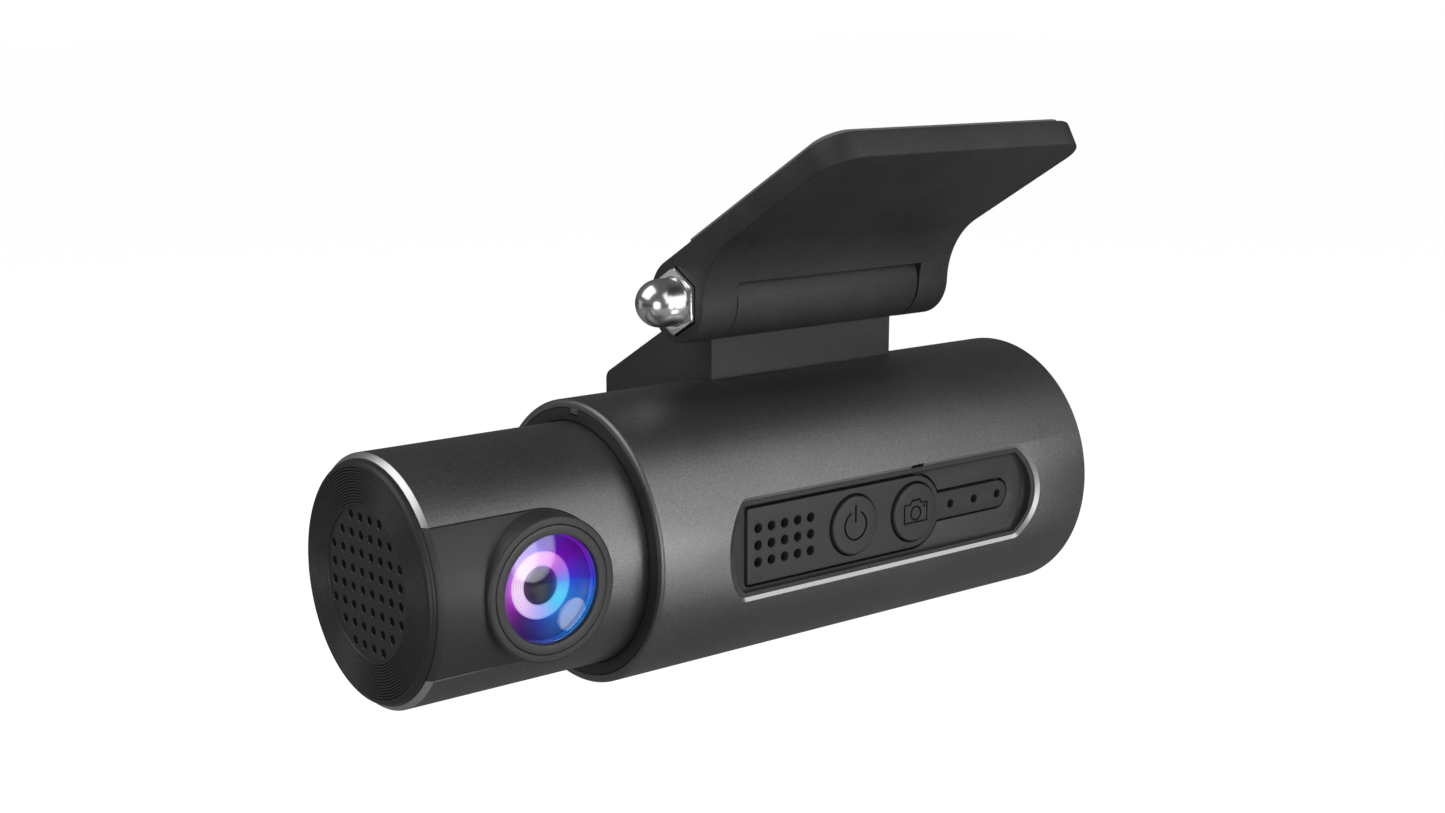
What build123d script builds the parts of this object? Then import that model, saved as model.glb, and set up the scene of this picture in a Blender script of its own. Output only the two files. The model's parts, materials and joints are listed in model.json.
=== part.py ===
from build123d import *
import math
import os

# A cylindrical dash camera on a windscreen bracket. Millimetres and degrees.
# The origin is the middle of the adhesive pad's outer face. +X runs along the camera from the lens
# end to the socket end, -Y is the side with the keys, and +Z is up.

os.makedirs("parts", exist_ok=True)

# ---- driving dimensions ----
# main tube
tube_radius = 19.0
tube_length = 79.7
tube_wall = 1.1
tube_shift = -0.2  # middle of the tube from the middle of the bracket, along X
rim_round = 0.6
# bracket
screen_tilt = 30.0  # slope of the pad from level
plate_reach = 38.2  # hinge axis to the plate's top edge
plate_thickness = 3.6
bracket_width = 46.1
plate_corner = 4.75
heel_radius = 11.0
ear_radius = 5.75
pad_thickness = 0.8
pad_start = 4.8  # hinge axis to the pad's lower edge
pad_inset = 1.2
# hinge and foot
hinge_height = 30.54  # hinge axis above the tube axis
knuckle_radius = 5.72
foot_width = 33.8
foot_back = 24.95
foot_bottom = 9.5  # lowest edge of the back wall above the tube axis
foot_slope = 30.0
foot_lift = 0.42  # sloping top above the hinge axis
foot_round = 1.5
bolt_radius = 2.5
nut_flats = 8.0
nut_dome_radius = 3.27
# window for the keys, on the -Y side of the tube
window_length = 57.8
window_width = 13.0
window_end_radius = 8.4
window_corner = 1.0
window_shift = 0.25  # middle of the window, along X
window_chamfer = 0.5
# key plate
key_half_height = 5.15
key_left_x = -24.35
tongue_half_height = 1.95
mic_pitch = 2.3
mic_columns = 5
mic_rows = 3
mic_hole_radius = 0.65
button_radius = 4.15
button_pitch = 11.45
camera_button_x = 5.92
button_travel = 0.3
led_pitch = 4.8
led_first_x = 13.32
led_hole_radius = 0.6
# turret
collar_width = 1.68
turret_reach = 31.41  # tube's front face to the cap's face
lens_reach = 15.06  # tube's front face to the lens axis
cap_height = 0.96
shell_wall = 1.1
shell_chamfer = 0.62
slot_half_height = 9.42
boss_radius = 9.3
boss_face = 16.78  # lens face from the turret axis
ring_radius = 8.06
glass_radius = 6.86
turret_low = -20.0
turret_high = 200.0
# speaker grille
grille_radius = 9.75
grille_depth = 0.25
grille_pitch = 2.32
grille_hole_radius = 0.57
groove_first = 10.2
groove_pitch = 0.36
groove_count = 12
groove_depth = 0.12
# clearances
swivel_fit = 0.08
pin_fit = 0.05
slip_fit = 0.1
bond_gap = 0.04
running_gap = 0.2

# ---- derived places ----
tilt = math.radians(screen_tilt)
sin_tilt = math.sin(tilt)
cos_tilt = math.cos(tilt)
pad_face = ear_radius + pad_thickness
pad_end = plate_reach - pad_inset
pad_middle = (pad_start + pad_end) / 2
hinge_y = pad_middle * cos_tilt - pad_face * sin_tilt
hinge_z = -pad_middle * sin_tilt - pad_face * cos_tilt
axis_y = hinge_y
axis_z = hinge_z - hinge_height
front_x = tube_shift - tube_length / 2
rear_x = front_x + tube_length
tube_inner = tube_radius - tube_wall
turret_radius = tube_inner - bond_gap - collar_width - swivel_fit
shell_inner = turret_radius - shell_wall
lens_x = front_x - lens_reach
cap_face_x = front_x - turret_reach
shell_front_x = cap_face_x + cap_height
screen_normal = Vector(0, sin_tilt, cos_tilt)
camera_axis = Axis((0, axis_y, axis_z), (1, 0, 0))
hinge_axis = Axis((0, hinge_y, hinge_z), (1, 0, 0))


def across_camera(x):
    # plane square to the camera's axis: its own x is +Y and its own y is +Z
    return Plane(origin=(x, axis_y, axis_z), x_dir=(0, 1, 0), z_dir=(1, 0, 0))


def across_hinge(x):
    return Plane(origin=(x, hinge_y, hinge_z), x_dir=(0, 1, 0), z_dir=(1, 0, 0))


def facing_keys(depth, x=0):
    # plane square to Y, so far on the key side of the axis: extruding goes outwards, to -Y
    return Plane(origin=(x, axis_y - depth, axis_z), x_dir=(1, 0, 0), z_dir=(0, -1, 0))


def facing_lens(depth):
    return facing_keys(depth, lens_x)


def along_camera():
    # plane through the camera's axis, for revolved outlines: its own y is the radius, upwards
    return Plane(origin=(0, axis_y, axis_z), x_dir=(1, 0, 0), z_dir=(0, -1, 0))


def on_pad(height):
    # plane of the bracket plate, so far from the hinge axis: its own -y runs up the plate
    origin = Vector(0, hinge_y, hinge_z) + screen_normal * height
    return Plane(origin=origin, x_dir=(1, 0, 0), z_dir=screen_normal)


def on_plate(run, height):
    # a point of the bracket's outline from the hinge axis, along the plate and out from it
    return (-run * cos_tilt + height * sin_tilt, run * sin_tilt + height * cos_tilt)


# ================= bracket =================
plate_under = ear_radius - plate_thickness
heel_height = plate_under - heel_radius
heel_run = math.sqrt((ear_radius + heel_radius) ** 2 - heel_height**2)
heel_centre = Vector(*on_plate(heel_run, heel_height))
heel_on_ear = heel_centre.normalized() * ear_radius
heel_on_plate = Vector(*on_plate(heel_run, plate_under))
heel_way = (heel_on_ear - heel_centre) + (heel_on_plate - heel_centre)
heel_middle = heel_centre + heel_way.normalized() * heel_radius
slot_half_width = foot_width / 2 + running_gap
slot_radius = knuckle_radius + 1.08
bracket_half = bracket_width / 2
nut_proud = 0.57
nut_thickness = 4.0
nut_seat_x = -bracket_half - nut_proud + nut_thickness
head_radius = 4.75
head_height = 2.7
head_recess = 3.0
head_seat_x = bracket_half - head_recess
bolt_bore = bolt_radius + pin_fit

with BuildPart() as bracket_plate:
    with BuildSketch(across_hinge(-bracket_half)):
        Circle(ear_radius)
        with BuildLine():
            Polyline((0, 0), on_plate(0, ear_radius), on_plate(plate_reach, ear_radius))
            Polyline(on_plate(plate_reach, ear_radius), on_plate(plate_reach, plate_under), heel_on_plate)
            ThreePointArc(heel_on_plate, heel_middle, heel_on_ear)
            Line(heel_on_ear, (0, 0))
        make_face()
    extrude(amount=bracket_width)
    fillet(bracket_plate.edges().filter_by(Axis((0, 0, 0), screen_normal)), plate_corner)
    with BuildSketch(across_hinge(-slot_half_width)):
        Circle(slot_radius)
    extrude(amount=2 * slot_half_width, mode=Mode.SUBTRACT)
    with BuildSketch(across_hinge(-bracket_half)):
        Circle(bolt_bore)
    extrude(amount=bracket_width, mode=Mode.SUBTRACT)
    with BuildSketch(across_hinge(-bracket_half)):
        RegularPolygon(nut_flats / 2 + slip_fit, 6, major_radius=False, rotation=30)
    extrude(amount=nut_seat_x + bracket_half, mode=Mode.SUBTRACT)
    with BuildSketch(across_hinge(head_seat_x)):
        Circle(head_radius + slip_fit)
    extrude(amount=head_recess, mode=Mode.SUBTRACT)

with BuildPart() as adhesive_pad:
    with BuildSketch(on_pad(ear_radius)):
        with Locations((0, -pad_middle)):
            Rectangle(bracket_width - 2 * pad_inset, pad_end - pad_start)
    extrude(amount=pad_thickness)
    pad_corners = adhesive_pad.edges().filter_by(Axis((0, 0, 0), screen_normal)).sort_by(Axis.Z)
    fillet(pad_corners[-2:], plate_corner - pad_inset)
    fillet(adhesive_pad.edges().filter_by(Axis((0, 0, 0), screen_normal)).sort_by(Axis.Z)[:2], pad_inset)

bolt_tip_x = nut_seat_x - 5.0
with BuildPart() as hinge_bolt:
    with BuildSketch(across_hinge(bolt_tip_x)):
        Circle(bolt_radius)
    extrude(amount=head_seat_x - bolt_tip_x)
    with BuildSketch(across_hinge(head_seat_x)):
        Circle(head_radius)
    extrude(amount=head_height)
    fillet(hinge_bolt.edges().filter_by(GeomType.CIRCLE).sort_by(Axis.X)[-1], 1.2)
    with BuildSketch(across_hinge(head_seat_x + head_height - 1.9)):
        RegularPolygon(1.5, 6, major_radius=False)
    extrude(amount=1.9, mode=Mode.SUBTRACT)

nut_face_x = -bracket_half - nut_proud
dome_centre_x = nut_face_x - 2.23
dome_tip_x = dome_centre_x - nut_dome_radius
nut_corner = nut_flats / 2 / math.cos(math.radians(30))
with BuildPart() as acorn_nut:
    with BuildSketch(across_hinge(nut_face_x)):
        RegularPolygon(nut_flats / 2, 6, major_radius=False, rotation=30)
    extrude(amount=nut_thickness)
    # the hexagon's corners are turned off by a cone on the dome side
    with BuildSketch(Plane(origin=(0, hinge_y, hinge_z), x_dir=(1, 0, 0), z_dir=(0, -1, 0))):
        with BuildLine():
            Polyline(
                (nut_face_x, 0),
                (nut_face_x, nut_flats / 2 - 0.1),
                (nut_face_x + 0.45, nut_corner + 0.05),
                (nut_seat_x, nut_corner + 0.05),
                (nut_seat_x, 0),
                (nut_face_x, 0),
            )
        make_face()
    revolve(axis=hinge_axis, mode=Mode.INTERSECT)
    with BuildSketch(across_hinge(dome_centre_x)):
        Circle(nut_dome_radius)
    extrude(amount=nut_face_x - dome_centre_x)
    with Locations(Location((dome_centre_x, hinge_y, hinge_z))):
        Sphere(nut_dome_radius)
    with BuildSketch(across_hinge(bolt_tip_x - 0.6)):
        Circle(bolt_radius)
    extrude(amount=nut_seat_x - bolt_tip_x + 0.6, mode=Mode.SUBTRACT)

# ================= hinge foot =================
sleeve_wall = 0.9
sleeve_outer = bolt_bore + sleeve_wall
washer_radius = 4.7
washer_seat = 0.5
foot_half = foot_width / 2
slope = math.radians(foot_slope)
slope_start = Vector(foot_lift * math.sin(slope), foot_lift * math.cos(slope))
slope_back_z = slope_start.Y - (foot_back - slope_start.X) * math.tan(slope)
foot_heel = (0.72 * tube_radius, 0.1 * tube_radius - hinge_height)
saddle_radius = tube_radius + bond_gap
foot_screw_angle = 60.0
foot_screw_spread = 10.0
foot_screw_radius = 1.25
foot_screw_depth = 5.0


def foot_screw_plane(x):
    # plane square to a radius of the tube, on its inner wall: extruding goes outwards
    turn = math.radians(foot_screw_angle)
    out = Vector(0, math.cos(turn), math.sin(turn))
    origin = Vector(x, axis_y, axis_z) + out * tube_inner
    return Plane(origin=origin, x_dir=(1, 0, 0), z_dir=out)


with BuildPart() as hinge_foot:
    with BuildSketch(across_hinge(-foot_half)):
        with BuildLine():
            Polyline(
                slope_start,
                (foot_back, slope_back_z),
                (foot_back, foot_bottom - hinge_height),
                foot_heel,
                (0, 0.5 * tube_radius - hinge_height),
                (0, 0),
                slope_start,
            )
        make_face()
    extrude(amount=foot_width)
    back_edges = hinge_foot.edges().filter_by(Axis.X).sort_by(Axis.Y)[-2:]
    fillet(back_edges, foot_round)
    with BuildSketch(across_hinge(-foot_half)):
        Circle(knuckle_radius)
    extrude(amount=foot_width)
    with BuildSketch(across_camera(-foot_half)):
        Circle(saddle_radius)
    extrude(amount=foot_width, mode=Mode.SUBTRACT)
    with BuildSketch(across_hinge(-foot_half)):
        Circle(sleeve_outer)
    extrude(amount=foot_width, mode=Mode.SUBTRACT)
    for end_x in (-foot_half, foot_half - washer_seat):
        with BuildSketch(across_hinge(end_x)):
            Circle(washer_radius + pin_fit)
        extrude(amount=washer_seat, mode=Mode.SUBTRACT)
    for screw_x in (-foot_screw_spread, foot_screw_spread):
        with BuildSketch(foot_screw_plane(screw_x)):
            Circle(foot_screw_radius)
        extrude(amount=tube_wall + foot_screw_depth + 0.5, mode=Mode.SUBTRACT)

with BuildPart() as hinge_sleeve:
    with BuildSketch(across_hinge(-foot_half + washer_seat)):
        Circle(sleeve_outer)
        Circle(bolt_bore, mode=Mode.SUBTRACT)
    extrude(amount=foot_width - 2 * washer_seat)

washer_thickness = washer_seat + running_gap - 0.05
with BuildPart() as friction_washers:
    for start_x in (-foot_half + washer_seat - washer_thickness, foot_half - washer_seat):
        with BuildSketch(across_hinge(start_x)):
            Circle(washer_radius)
            Circle(bolt_bore + pin_fit, mode=Mode.SUBTRACT)
        extrude(amount=washer_thickness)

foot_head_radius = 2.1
foot_head_height = 1.3
foot_head_drop = tube_inner - math.sqrt(tube_inner**2 - foot_head_radius**2) + 0.01
with BuildPart() as foot_screws:
    for screw_x in (-foot_screw_spread, foot_screw_spread):
        with BuildSketch(foot_screw_plane(screw_x).offset(-foot_head_drop)):
            Circle(foot_screw_radius)
        extrude(amount=foot_head_drop + tube_wall + foot_screw_depth)
        with BuildSketch(foot_screw_plane(screw_x).offset(-foot_head_drop)):
            Circle(foot_head_radius)
        extrude(amount=-foot_head_height)
        with BuildSketch(foot_screw_plane(screw_x).offset(-foot_head_drop - foot_head_height)):
            RegularPolygon(0.9, 6, major_radius=False)
        extrude(amount=0.8, mode=Mode.SUBTRACT)

# ================= main tube =================
tab_half_width = 0.85
tab_length = 1.4
tab_height = 0.75


def window_sketch(grow):
    # the window's outline, grown all round by so much: long sides straight, ends bowed
    half_length = window_length / 2 + grow
    half_width = window_width / 2 + grow
    end_radius = window_end_radius + grow
    bow = end_radius - math.sqrt(end_radius**2 - half_width**2)
    with BuildSketch(mode=Mode.PRIVATE) as outline:
        with BuildLine():
            Line((bow - half_length, half_width), (half_length - bow, half_width))
            ThreePointArc(
                (half_length - bow, half_width), (half_length, 0), (half_length - bow, -half_width)
            )
            Line((half_length - bow, -half_width), (bow - half_length, -half_width))
            ThreePointArc(
                (bow - half_length, -half_width), (-half_length, 0), (bow - half_length, half_width)
            )
        make_face()
        fillet(outline.vertices(), window_corner)
    return outline.sketch


with BuildPart() as body_tube:
    with BuildSketch(across_camera(front_x)):
        Circle(tube_radius)
        Circle(tube_inner, mode=Mode.SUBTRACT)
    extrude(amount=tube_length)
    front_circles = body_tube.edges().filter_by(GeomType.CIRCLE).group_by(Axis.X)[0]
    fillet(front_circles.sort_by(SortBy.RADIUS)[-1], rim_round)
    with BuildSketch(facing_keys(0, window_shift)):
        add(window_sketch(0))
    extrude(amount=tube_radius + 1, mode=Mode.SUBTRACT)
    window_edges = body_tube.edges().filter_by(
        lambda edge: edge.center().Y < axis_y - 0.8 * tube_radius
        and abs(edge.center().X - window_shift) < window_length / 2 + 1
        and abs(math.hypot(edge.position_at(0.5).Y - axis_y, edge.position_at(0.5).Z - axis_z) - tube_radius)
        < 0.01
        and abs(edge.center().Z - axis_z) < window_width / 2 + 0.5
    )
    chamfer(window_edges, window_chamfer)
    # locating tab for the collar
    with BuildSketch(across_camera(front_x)):
        with Locations((0, tube_inner - tab_height / 2 + 0.1)):
            Rectangle(2 * tab_half_width, tab_height + 0.2)
    extrude(amount=tab_length)
    for screw_x in (-foot_screw_spread, foot_screw_spread):
        with BuildSketch(foot_screw_plane(screw_x).offset(-1)):
            Circle(foot_screw_radius + slip_fit)
        extrude(amount=tube_wall + 2, mode=Mode.SUBTRACT)

collar_length = 3.4
collar_outer = tube_inner - bond_gap
collar_bore = turret_radius + swivel_fit
with BuildPart() as collar_ring:
    with BuildSketch(across_camera(front_x)):
        Circle(collar_outer)
        Circle(collar_bore, mode=Mode.SUBTRACT)
    extrude(amount=collar_length)
    with BuildSketch(across_camera(front_x)):
        with Locations((0, tube_inner)):
            Rectangle(2 * tab_half_width + 2 * slip_fit, 2 * tab_height + 2 * slip_fit)
    extrude(amount=tab_length + slip_fit, mode=Mode.SUBTRACT)

# ================= inner chassis =================
hub_flange = 1.5
hub_start_x = front_x + collar_length + slip_fit
bearing_start_x = hub_start_x + hub_flange + slip_fit
bearing_thickness = 0.5
bulkhead_x = bearing_start_x + bearing_thickness
bulkhead_thickness = 2.0
chassis_radius = tube_inner - 0.3
stop_outer = 12.0
stop_inner = 8.6
stop_arc = 109.0
lug_arc = 29.0
cap_thickness = 3.1
end_cap_x = rear_x - cap_thickness
rail_wall = 3.0
rail_low = 75.0
rail_high = 120.0
panel_thickness = 1.2
panel_depth = math.sqrt((tube_inner - slip_fit) ** 2 - (window_width / 2 + 0.3) ** 2)
key_face = panel_depth + 0.25
panel_rim = 0.6  # raised border of the panel that lines the window
key_flange = 0.8
key_back = panel_depth - panel_thickness
board_front = panel_depth - 6.05
board_thickness = 1.0
board_back = board_front - board_thickness
board_half = math.sqrt((tube_inner - 0.5) ** 2 - board_front**2) - 1.07
board_start_x = bulkhead_x + bulkhead_thickness + 0.8
board_end_x = end_cap_x - 0.2
board_screw_radius = 0.8
socket_end_x = board_end_x
socket_length = 13.4
ledge_end_x = socket_end_x - socket_length - 1.0
board_screws_at = [
    (x, side * (board_half - 0.9 - board_screw_radius))
    for x in (board_start_x + 4.0, ledge_end_x - 3.0)
    for side in (-1, 1)
]
ledge_inner = board_half - 2.6
deck_depth = -2.0
deck_thickness = 1.2
deck_start_x = -12.0
deck_length = 30.0


def sector(radius, low, high):
    # corner points of a wedge that covers the angles from low to high, well past the radius
    far = 3 * radius
    turns = [low + (high - low) * step / 4 for step in range(5)]
    return [(0, 0)] + [(far * math.cos(math.radians(a)), far * math.sin(math.radians(a))) for a in turns]


with BuildPart() as chassis:
    with BuildSketch(across_camera(bulkhead_x)):
        Circle(chassis_radius)
        Circle(stop_outer, mode=Mode.SUBTRACT)
    extrude(amount=bulkhead_thickness)
    # stop block for the turret, inside the bulkhead's ring, centred at the top
    with BuildSketch(across_camera(bulkhead_x)):
        Circle(stop_outer + 0.2)
        Circle(stop_inner, mode=Mode.SUBTRACT)
        Polygon(*sector(stop_outer, 90 - stop_arc / 2, 90 + stop_arc / 2), align=None, mode=Mode.INTERSECT)
    extrude(amount=bulkhead_thickness)
    # two rails, with ledges that carry the board
    for side in (1, -1):
        low, high = sorted((side * rail_low, side * rail_high))
        with BuildSketch(across_camera(bulkhead_x)):
            Circle(chassis_radius)
            Circle(chassis_radius - rail_wall, mode=Mode.SUBTRACT)
            Polygon(*sector(chassis_radius, low, high), align=None, mode=Mode.INTERSECT)
        extrude(amount=end_cap_x - bulkhead_x)
        with BuildSketch(across_camera(bulkhead_x)):
            with Locations((-board_back + 1.6, side * (ledge_inner + 2.2))):
                Rectangle(3.2, 4.4)
            Circle(chassis_radius, mode=Mode.INTERSECT)
        extrude(amount=ledge_end_x - bulkhead_x)
    # deck for the capacitors, between the rails
    deck_half = math.sqrt((chassis_radius - rail_wall) ** 2 - (deck_depth - deck_thickness) ** 2) + 0.6
    with BuildSketch(facing_keys(deck_depth - deck_thickness, deck_start_x + deck_length / 2)):
        Rectangle(deck_length, 2 * deck_half)
    extrude(amount=deck_thickness)
    for x, z in board_screws_at:
        with BuildSketch(facing_keys(board_back, x)):
            with Locations((0, z)):
                Circle(board_screw_radius)
        extrude(amount=-3.0, mode=Mode.SUBTRACT)
    for side in (1, -1):
        with BuildSketch(across_camera(end_cap_x - 6)):
            with Locations((0, side * (chassis_radius - rail_wall / 2))):
                Circle(board_screw_radius)
        extrude(amount=6, mode=Mode.SUBTRACT)

with BuildPart() as bearing_ring:
    with BuildSketch(across_camera(bearing_start_x)):
        Circle(chassis_radius - 0.4)
        Circle(stop_outer + 0.5, mode=Mode.SUBTRACT)
    extrude(amount=bearing_thickness)

# ================= key side =================
panel_grow = 1.5


def key_outline(grow):
    # the key plate's outline: a block for the keys, rounded at the camera key, and a narrow tongue
    left = key_left_x - grow
    half = key_half_height + grow
    tongue_half = tongue_half_height + grow
    tongue_end = led_first_x + 2 * led_pitch
    with BuildSketch(mode=Mode.PRIVATE) as outline:
        with Locations(((left + camera_button_x) / 2, 0)):
            Rectangle(camera_button_x - left, 2 * half)
        with Locations((camera_button_x, 0)):
            Circle(half)
        with Locations(((camera_button_x + tongue_end) / 2, 0)):
            Rectangle(tongue_end - camera_button_x, 2 * tongue_half)
        with Locations((tongue_end, 0)):
            Circle(tongue_half)
    return outline.sketch


key_gap = 0.3
with BuildPart() as side_panel:
    with BuildSketch(facing_keys(panel_depth, window_shift)):
        add(window_sketch(panel_grow))
    extrude(amount=-panel_thickness)
    with BuildSketch(across_camera(window_shift - window_length / 2 - 5)):
        Circle(tube_inner - slip_fit)
    extrude(amount=window_length + 10, mode=Mode.INTERSECT)
    with BuildSketch(facing_keys(panel_depth)):
        add(key_outline(key_gap))
    extrude(amount=-panel_thickness, mode=Mode.SUBTRACT)
    with BuildPart(mode=Mode.PRIVATE) as rim:
        with BuildSketch(facing_keys(panel_depth - panel_thickness / 2, window_shift)):
            add(window_sketch(-slip_fit))
            add(window_sketch(-slip_fit - panel_rim), mode=Mode.SUBTRACT)
        extrude(amount=tube_radius - panel_depth)
        with BuildSketch(across_camera(window_shift - window_length / 2 - 5)):
            Circle(tube_radius - window_chamfer - slip_fit)
        extrude(amount=window_length + 10, mode=Mode.INTERSECT)
    add(rim.part)

mic_first_x = -22.5
mic_points = [
    (mic_first_x + column * mic_pitch, (row - (mic_rows - 1) / 2) * mic_pitch)
    for column in range(mic_columns)
    for row in range(mic_rows)
]
led_points = [(led_first_x + step * led_pitch, 0) for step in range(3)]
power_button_x = camera_button_x - button_pitch
button_bore = button_radius + 0.12
key_outer_flange = key_back - key_flange
with BuildPart() as key_plate:
    with BuildSketch(facing_keys(key_back)):
        add(key_outline(0))
    extrude(amount=key_face - key_back)
    with BuildSketch(facing_keys(key_back)):
        add(key_outline(key_gap + 0.7))
    extrude(amount=-key_flange)
    with BuildSketch(facing_keys(key_face)):
        with Locations(*mic_points):
            Circle(mic_hole_radius)
        with Locations(*led_points):
            Circle(led_hole_radius)
        with Locations((power_button_x, 0), (camera_button_x, 0)):
            Circle(button_bore)
    extrude(amount=key_outer_flange - key_face, mode=Mode.SUBTRACT)

mesh_thickness = 0.3
with BuildPart() as mic_mesh:
    with BuildSketch(facing_keys(key_outer_flange)):
        with Locations((mic_first_x + mic_pitch * (mic_columns - 1) / 2, 0)):
            Rectangle(mic_pitch * mic_columns, mic_pitch * mic_rows)
    extrude(amount=-mesh_thickness)

# status light guide: three pins joined by a bar behind the key plate
pin_radius = led_hole_radius - 0.04
pin_recess = 0.6
with BuildPart() as light_guide:
    with BuildSketch(facing_keys(key_outer_flange)):
        with Locations((led_first_x + led_pitch, 0)):
            SlotOverall(2 * led_pitch + 4, 2.6)
    extrude(amount=-0.8)
    with BuildSketch(facing_keys(board_front + 0.75)):
        with Locations(*led_points):
            Circle(pin_radius)
    extrude(amount=key_face - pin_recess - board_front - 0.75)

button_proud = 0.4
button_round = 0.3
flange_gap = 0.1
flange_thickness = 0.7
icon_depth = 0.2
switch_height = 2.1
stem_end = board_front + switch_height + button_travel + 0.05


def power_icon():
    # an open ring with a bar in its gap
    with BuildSketch(mode=Mode.PRIVATE) as icon:
        Circle(2.05)
        Circle(1.72, mode=Mode.SUBTRACT)
        with Locations((0, 2)):
            Rectangle(1.9, 2.2, mode=Mode.SUBTRACT)
        with Locations((0, 1.75)):
            Rectangle(0.33, 2.3)
    return icon.sketch


def camera_icon():
    # a plain camera: body with a raised middle, a round lens and a dot
    stroke = 0.22
    with BuildSketch(mode=Mode.PRIVATE) as icon:
        for inset in (0, stroke):
            with BuildLine():
                Polyline(
                    (-2.35 + inset, -1.5 + inset),
                    (2.35 - inset, -1.5 + inset),
                    (2.35 - inset, 1.35 - inset),
                    (1.2 + inset * 0.3, 1.35 - inset),
                    (0.75, 2.0 - inset),
                    (-0.75, 2.0 - inset),
                    (-1.2 - inset * 0.3, 1.35 - inset),
                    (-2.35 + inset, 1.35 - inset),
                    (-2.35 + inset, -1.5 + inset),
                )
            make_face(mode=Mode.ADD if inset == 0 else Mode.SUBTRACT)
        Circle(1.05)
        Circle(1.05 - stroke, mode=Mode.SUBTRACT)
        with Locations((1.7, 0.75)):
            Circle(0.16)
    return icon.sketch


def button_part(x, icon):
    # a round key: cap, flange behind the key plate, and a stem to its switch
    with BuildPart(mode=Mode.PRIVATE) as key:
        with BuildSketch(facing_keys(key_outer_flange - flange_gap, x)):
            Circle(button_radius)
        extrude(amount=key_face + button_proud - key_outer_flange + flange_gap)
        fillet(key.edges().filter_by(GeomType.CIRCLE).sort_by(Axis.Y)[0], button_round)
        with BuildSketch(facing_keys(key_outer_flange - flange_gap, x)):
            Circle(button_radius + 0.75)
        extrude(amount=-flange_thickness)
        with BuildSketch(facing_keys(stem_end, x)):
            Circle(1.2)
        extrude(amount=key_outer_flange - flange_gap - stem_end)
        with BuildSketch(facing_keys(key_face + button_proud - icon_depth, x)):
            add(icon)
        extrude(amount=icon_depth, mode=Mode.SUBTRACT)
    return key.part


with BuildPart() as power_button:
    add(button_part(power_button_x, power_icon()))

with BuildPart() as camera_button:
    add(button_part(camera_button_x, camera_icon()))

# ================= main board and what it carries =================
with BuildPart() as main_board:
    with BuildSketch(facing_keys(board_back)):
        with Locations(((board_start_x + board_end_x) / 2, 0)):
            Rectangle(board_end_x - board_start_x, 2 * board_half)
        with Locations(*board_screws_at):
            Circle(board_screw_radius, mode=Mode.SUBTRACT)
    extrude(amount=board_thickness)

with BuildPart() as board_screws:
    for x, z in board_screws_at:
        with BuildSketch(facing_keys(board_back - 2.9, x)):
            with Locations((0, z)):
                Circle(board_screw_radius)
        extrude(amount=board_thickness + 2.9)
        with BuildSketch(facing_keys(board_front, x)):
            with Locations((0, z)):
                Circle(1.4)
        extrude(amount=0.8)

with BuildPart() as tact_switches:
    for x in (power_button_x, camera_button_x):
        with BuildSketch(facing_keys(board_front, x)):
            Rectangle(4.5, 4.5)
        extrude(amount=switch_height - 0.5)
        with BuildSketch(facing_keys(board_front + switch_height - 0.5, x)):
            Circle(1.0)
        extrude(amount=0.5)

with BuildPart() as status_lights:
    with BuildSketch(facing_keys(board_front)):
        with Locations(*led_points):
            Rectangle(1.6, 0.8)
    extrude(amount=0.6)

with BuildPart() as microphone:
    with BuildSketch(facing_keys(board_front, mic_first_x + 2 * mic_pitch)):
        Circle(2.0)
        Circle(0.4, mode=Mode.SUBTRACT)
    extrude(amount=1.5)

shield_x = -7.0
shield_size = 20.0
shield_height = 2.3
with BuildPart() as processor_shield:
    with BuildSketch(facing_keys(board_back, shield_x)):
        RectangleRounded(shield_size, shield_size, 1.0)
    extrude(amount=-shield_height)
    with BuildSketch(facing_keys(board_back, shield_x)):
        RectangleRounded(shield_size - 0.5, shield_size - 0.5, 0.8)
    extrude(amount=-shield_height + 0.25, mode=Mode.SUBTRACT)

with BuildPart() as processor:
    with BuildSketch(facing_keys(board_back, shield_x)):
        Rectangle(13, 13)
    extrude(amount=-shield_height + 0.25)

with BuildPart() as heat_spreader:
    with BuildSketch(facing_keys(board_back - shield_height, shield_x)):
        RectangleRounded(shield_size + 8, shield_size - 3, 1.5)
    extrude(amount=-1.0)

with BuildPart() as memory_chips:
    with BuildSketch(facing_keys(board_back, shield_x + shield_size / 2 + 4.5)):
        with Locations((0, 5.5), (0, -5.5)):
            Rectangle(6, 9)
    extrude(amount=-0.9)

capacitor_radius = 4.0
capacitor_length = 20.0
with BuildPart() as capacitors:
    for side in (-1, 1):
        start = deck_start_x + deck_length / 2 - capacitor_length / 2
        place = Plane(
            origin=(start, axis_y - deck_depth + deck_thickness + capacitor_radius, axis_z + side * 4.6),
            x_dir=(0, 1, 0),
            z_dir=(1, 0, 0),
        )
        with BuildSketch(place):
            Circle(capacitor_radius)
        extrude(amount=capacitor_length)
    fillet(capacitors.edges().filter_by(GeomType.CIRCLE), 0.5)

# memory card and its socket, on the back of the board at the socket end
card_length = 15.0
card_width = 11.0
card_thickness = 1.0
card_z = board_half - 8.7
card_inset = 0.9  # the card's end inside the cap's face
card_end_x = rear_x - card_inset
card_depth = board_back - 0.95  # middle of the card's thickness


def card_plane(x):
    return Plane(
        origin=(x, axis_y - card_depth, axis_z + card_z), x_dir=(0, 1, 0), z_dir=(1, 0, 0)
    )


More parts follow.
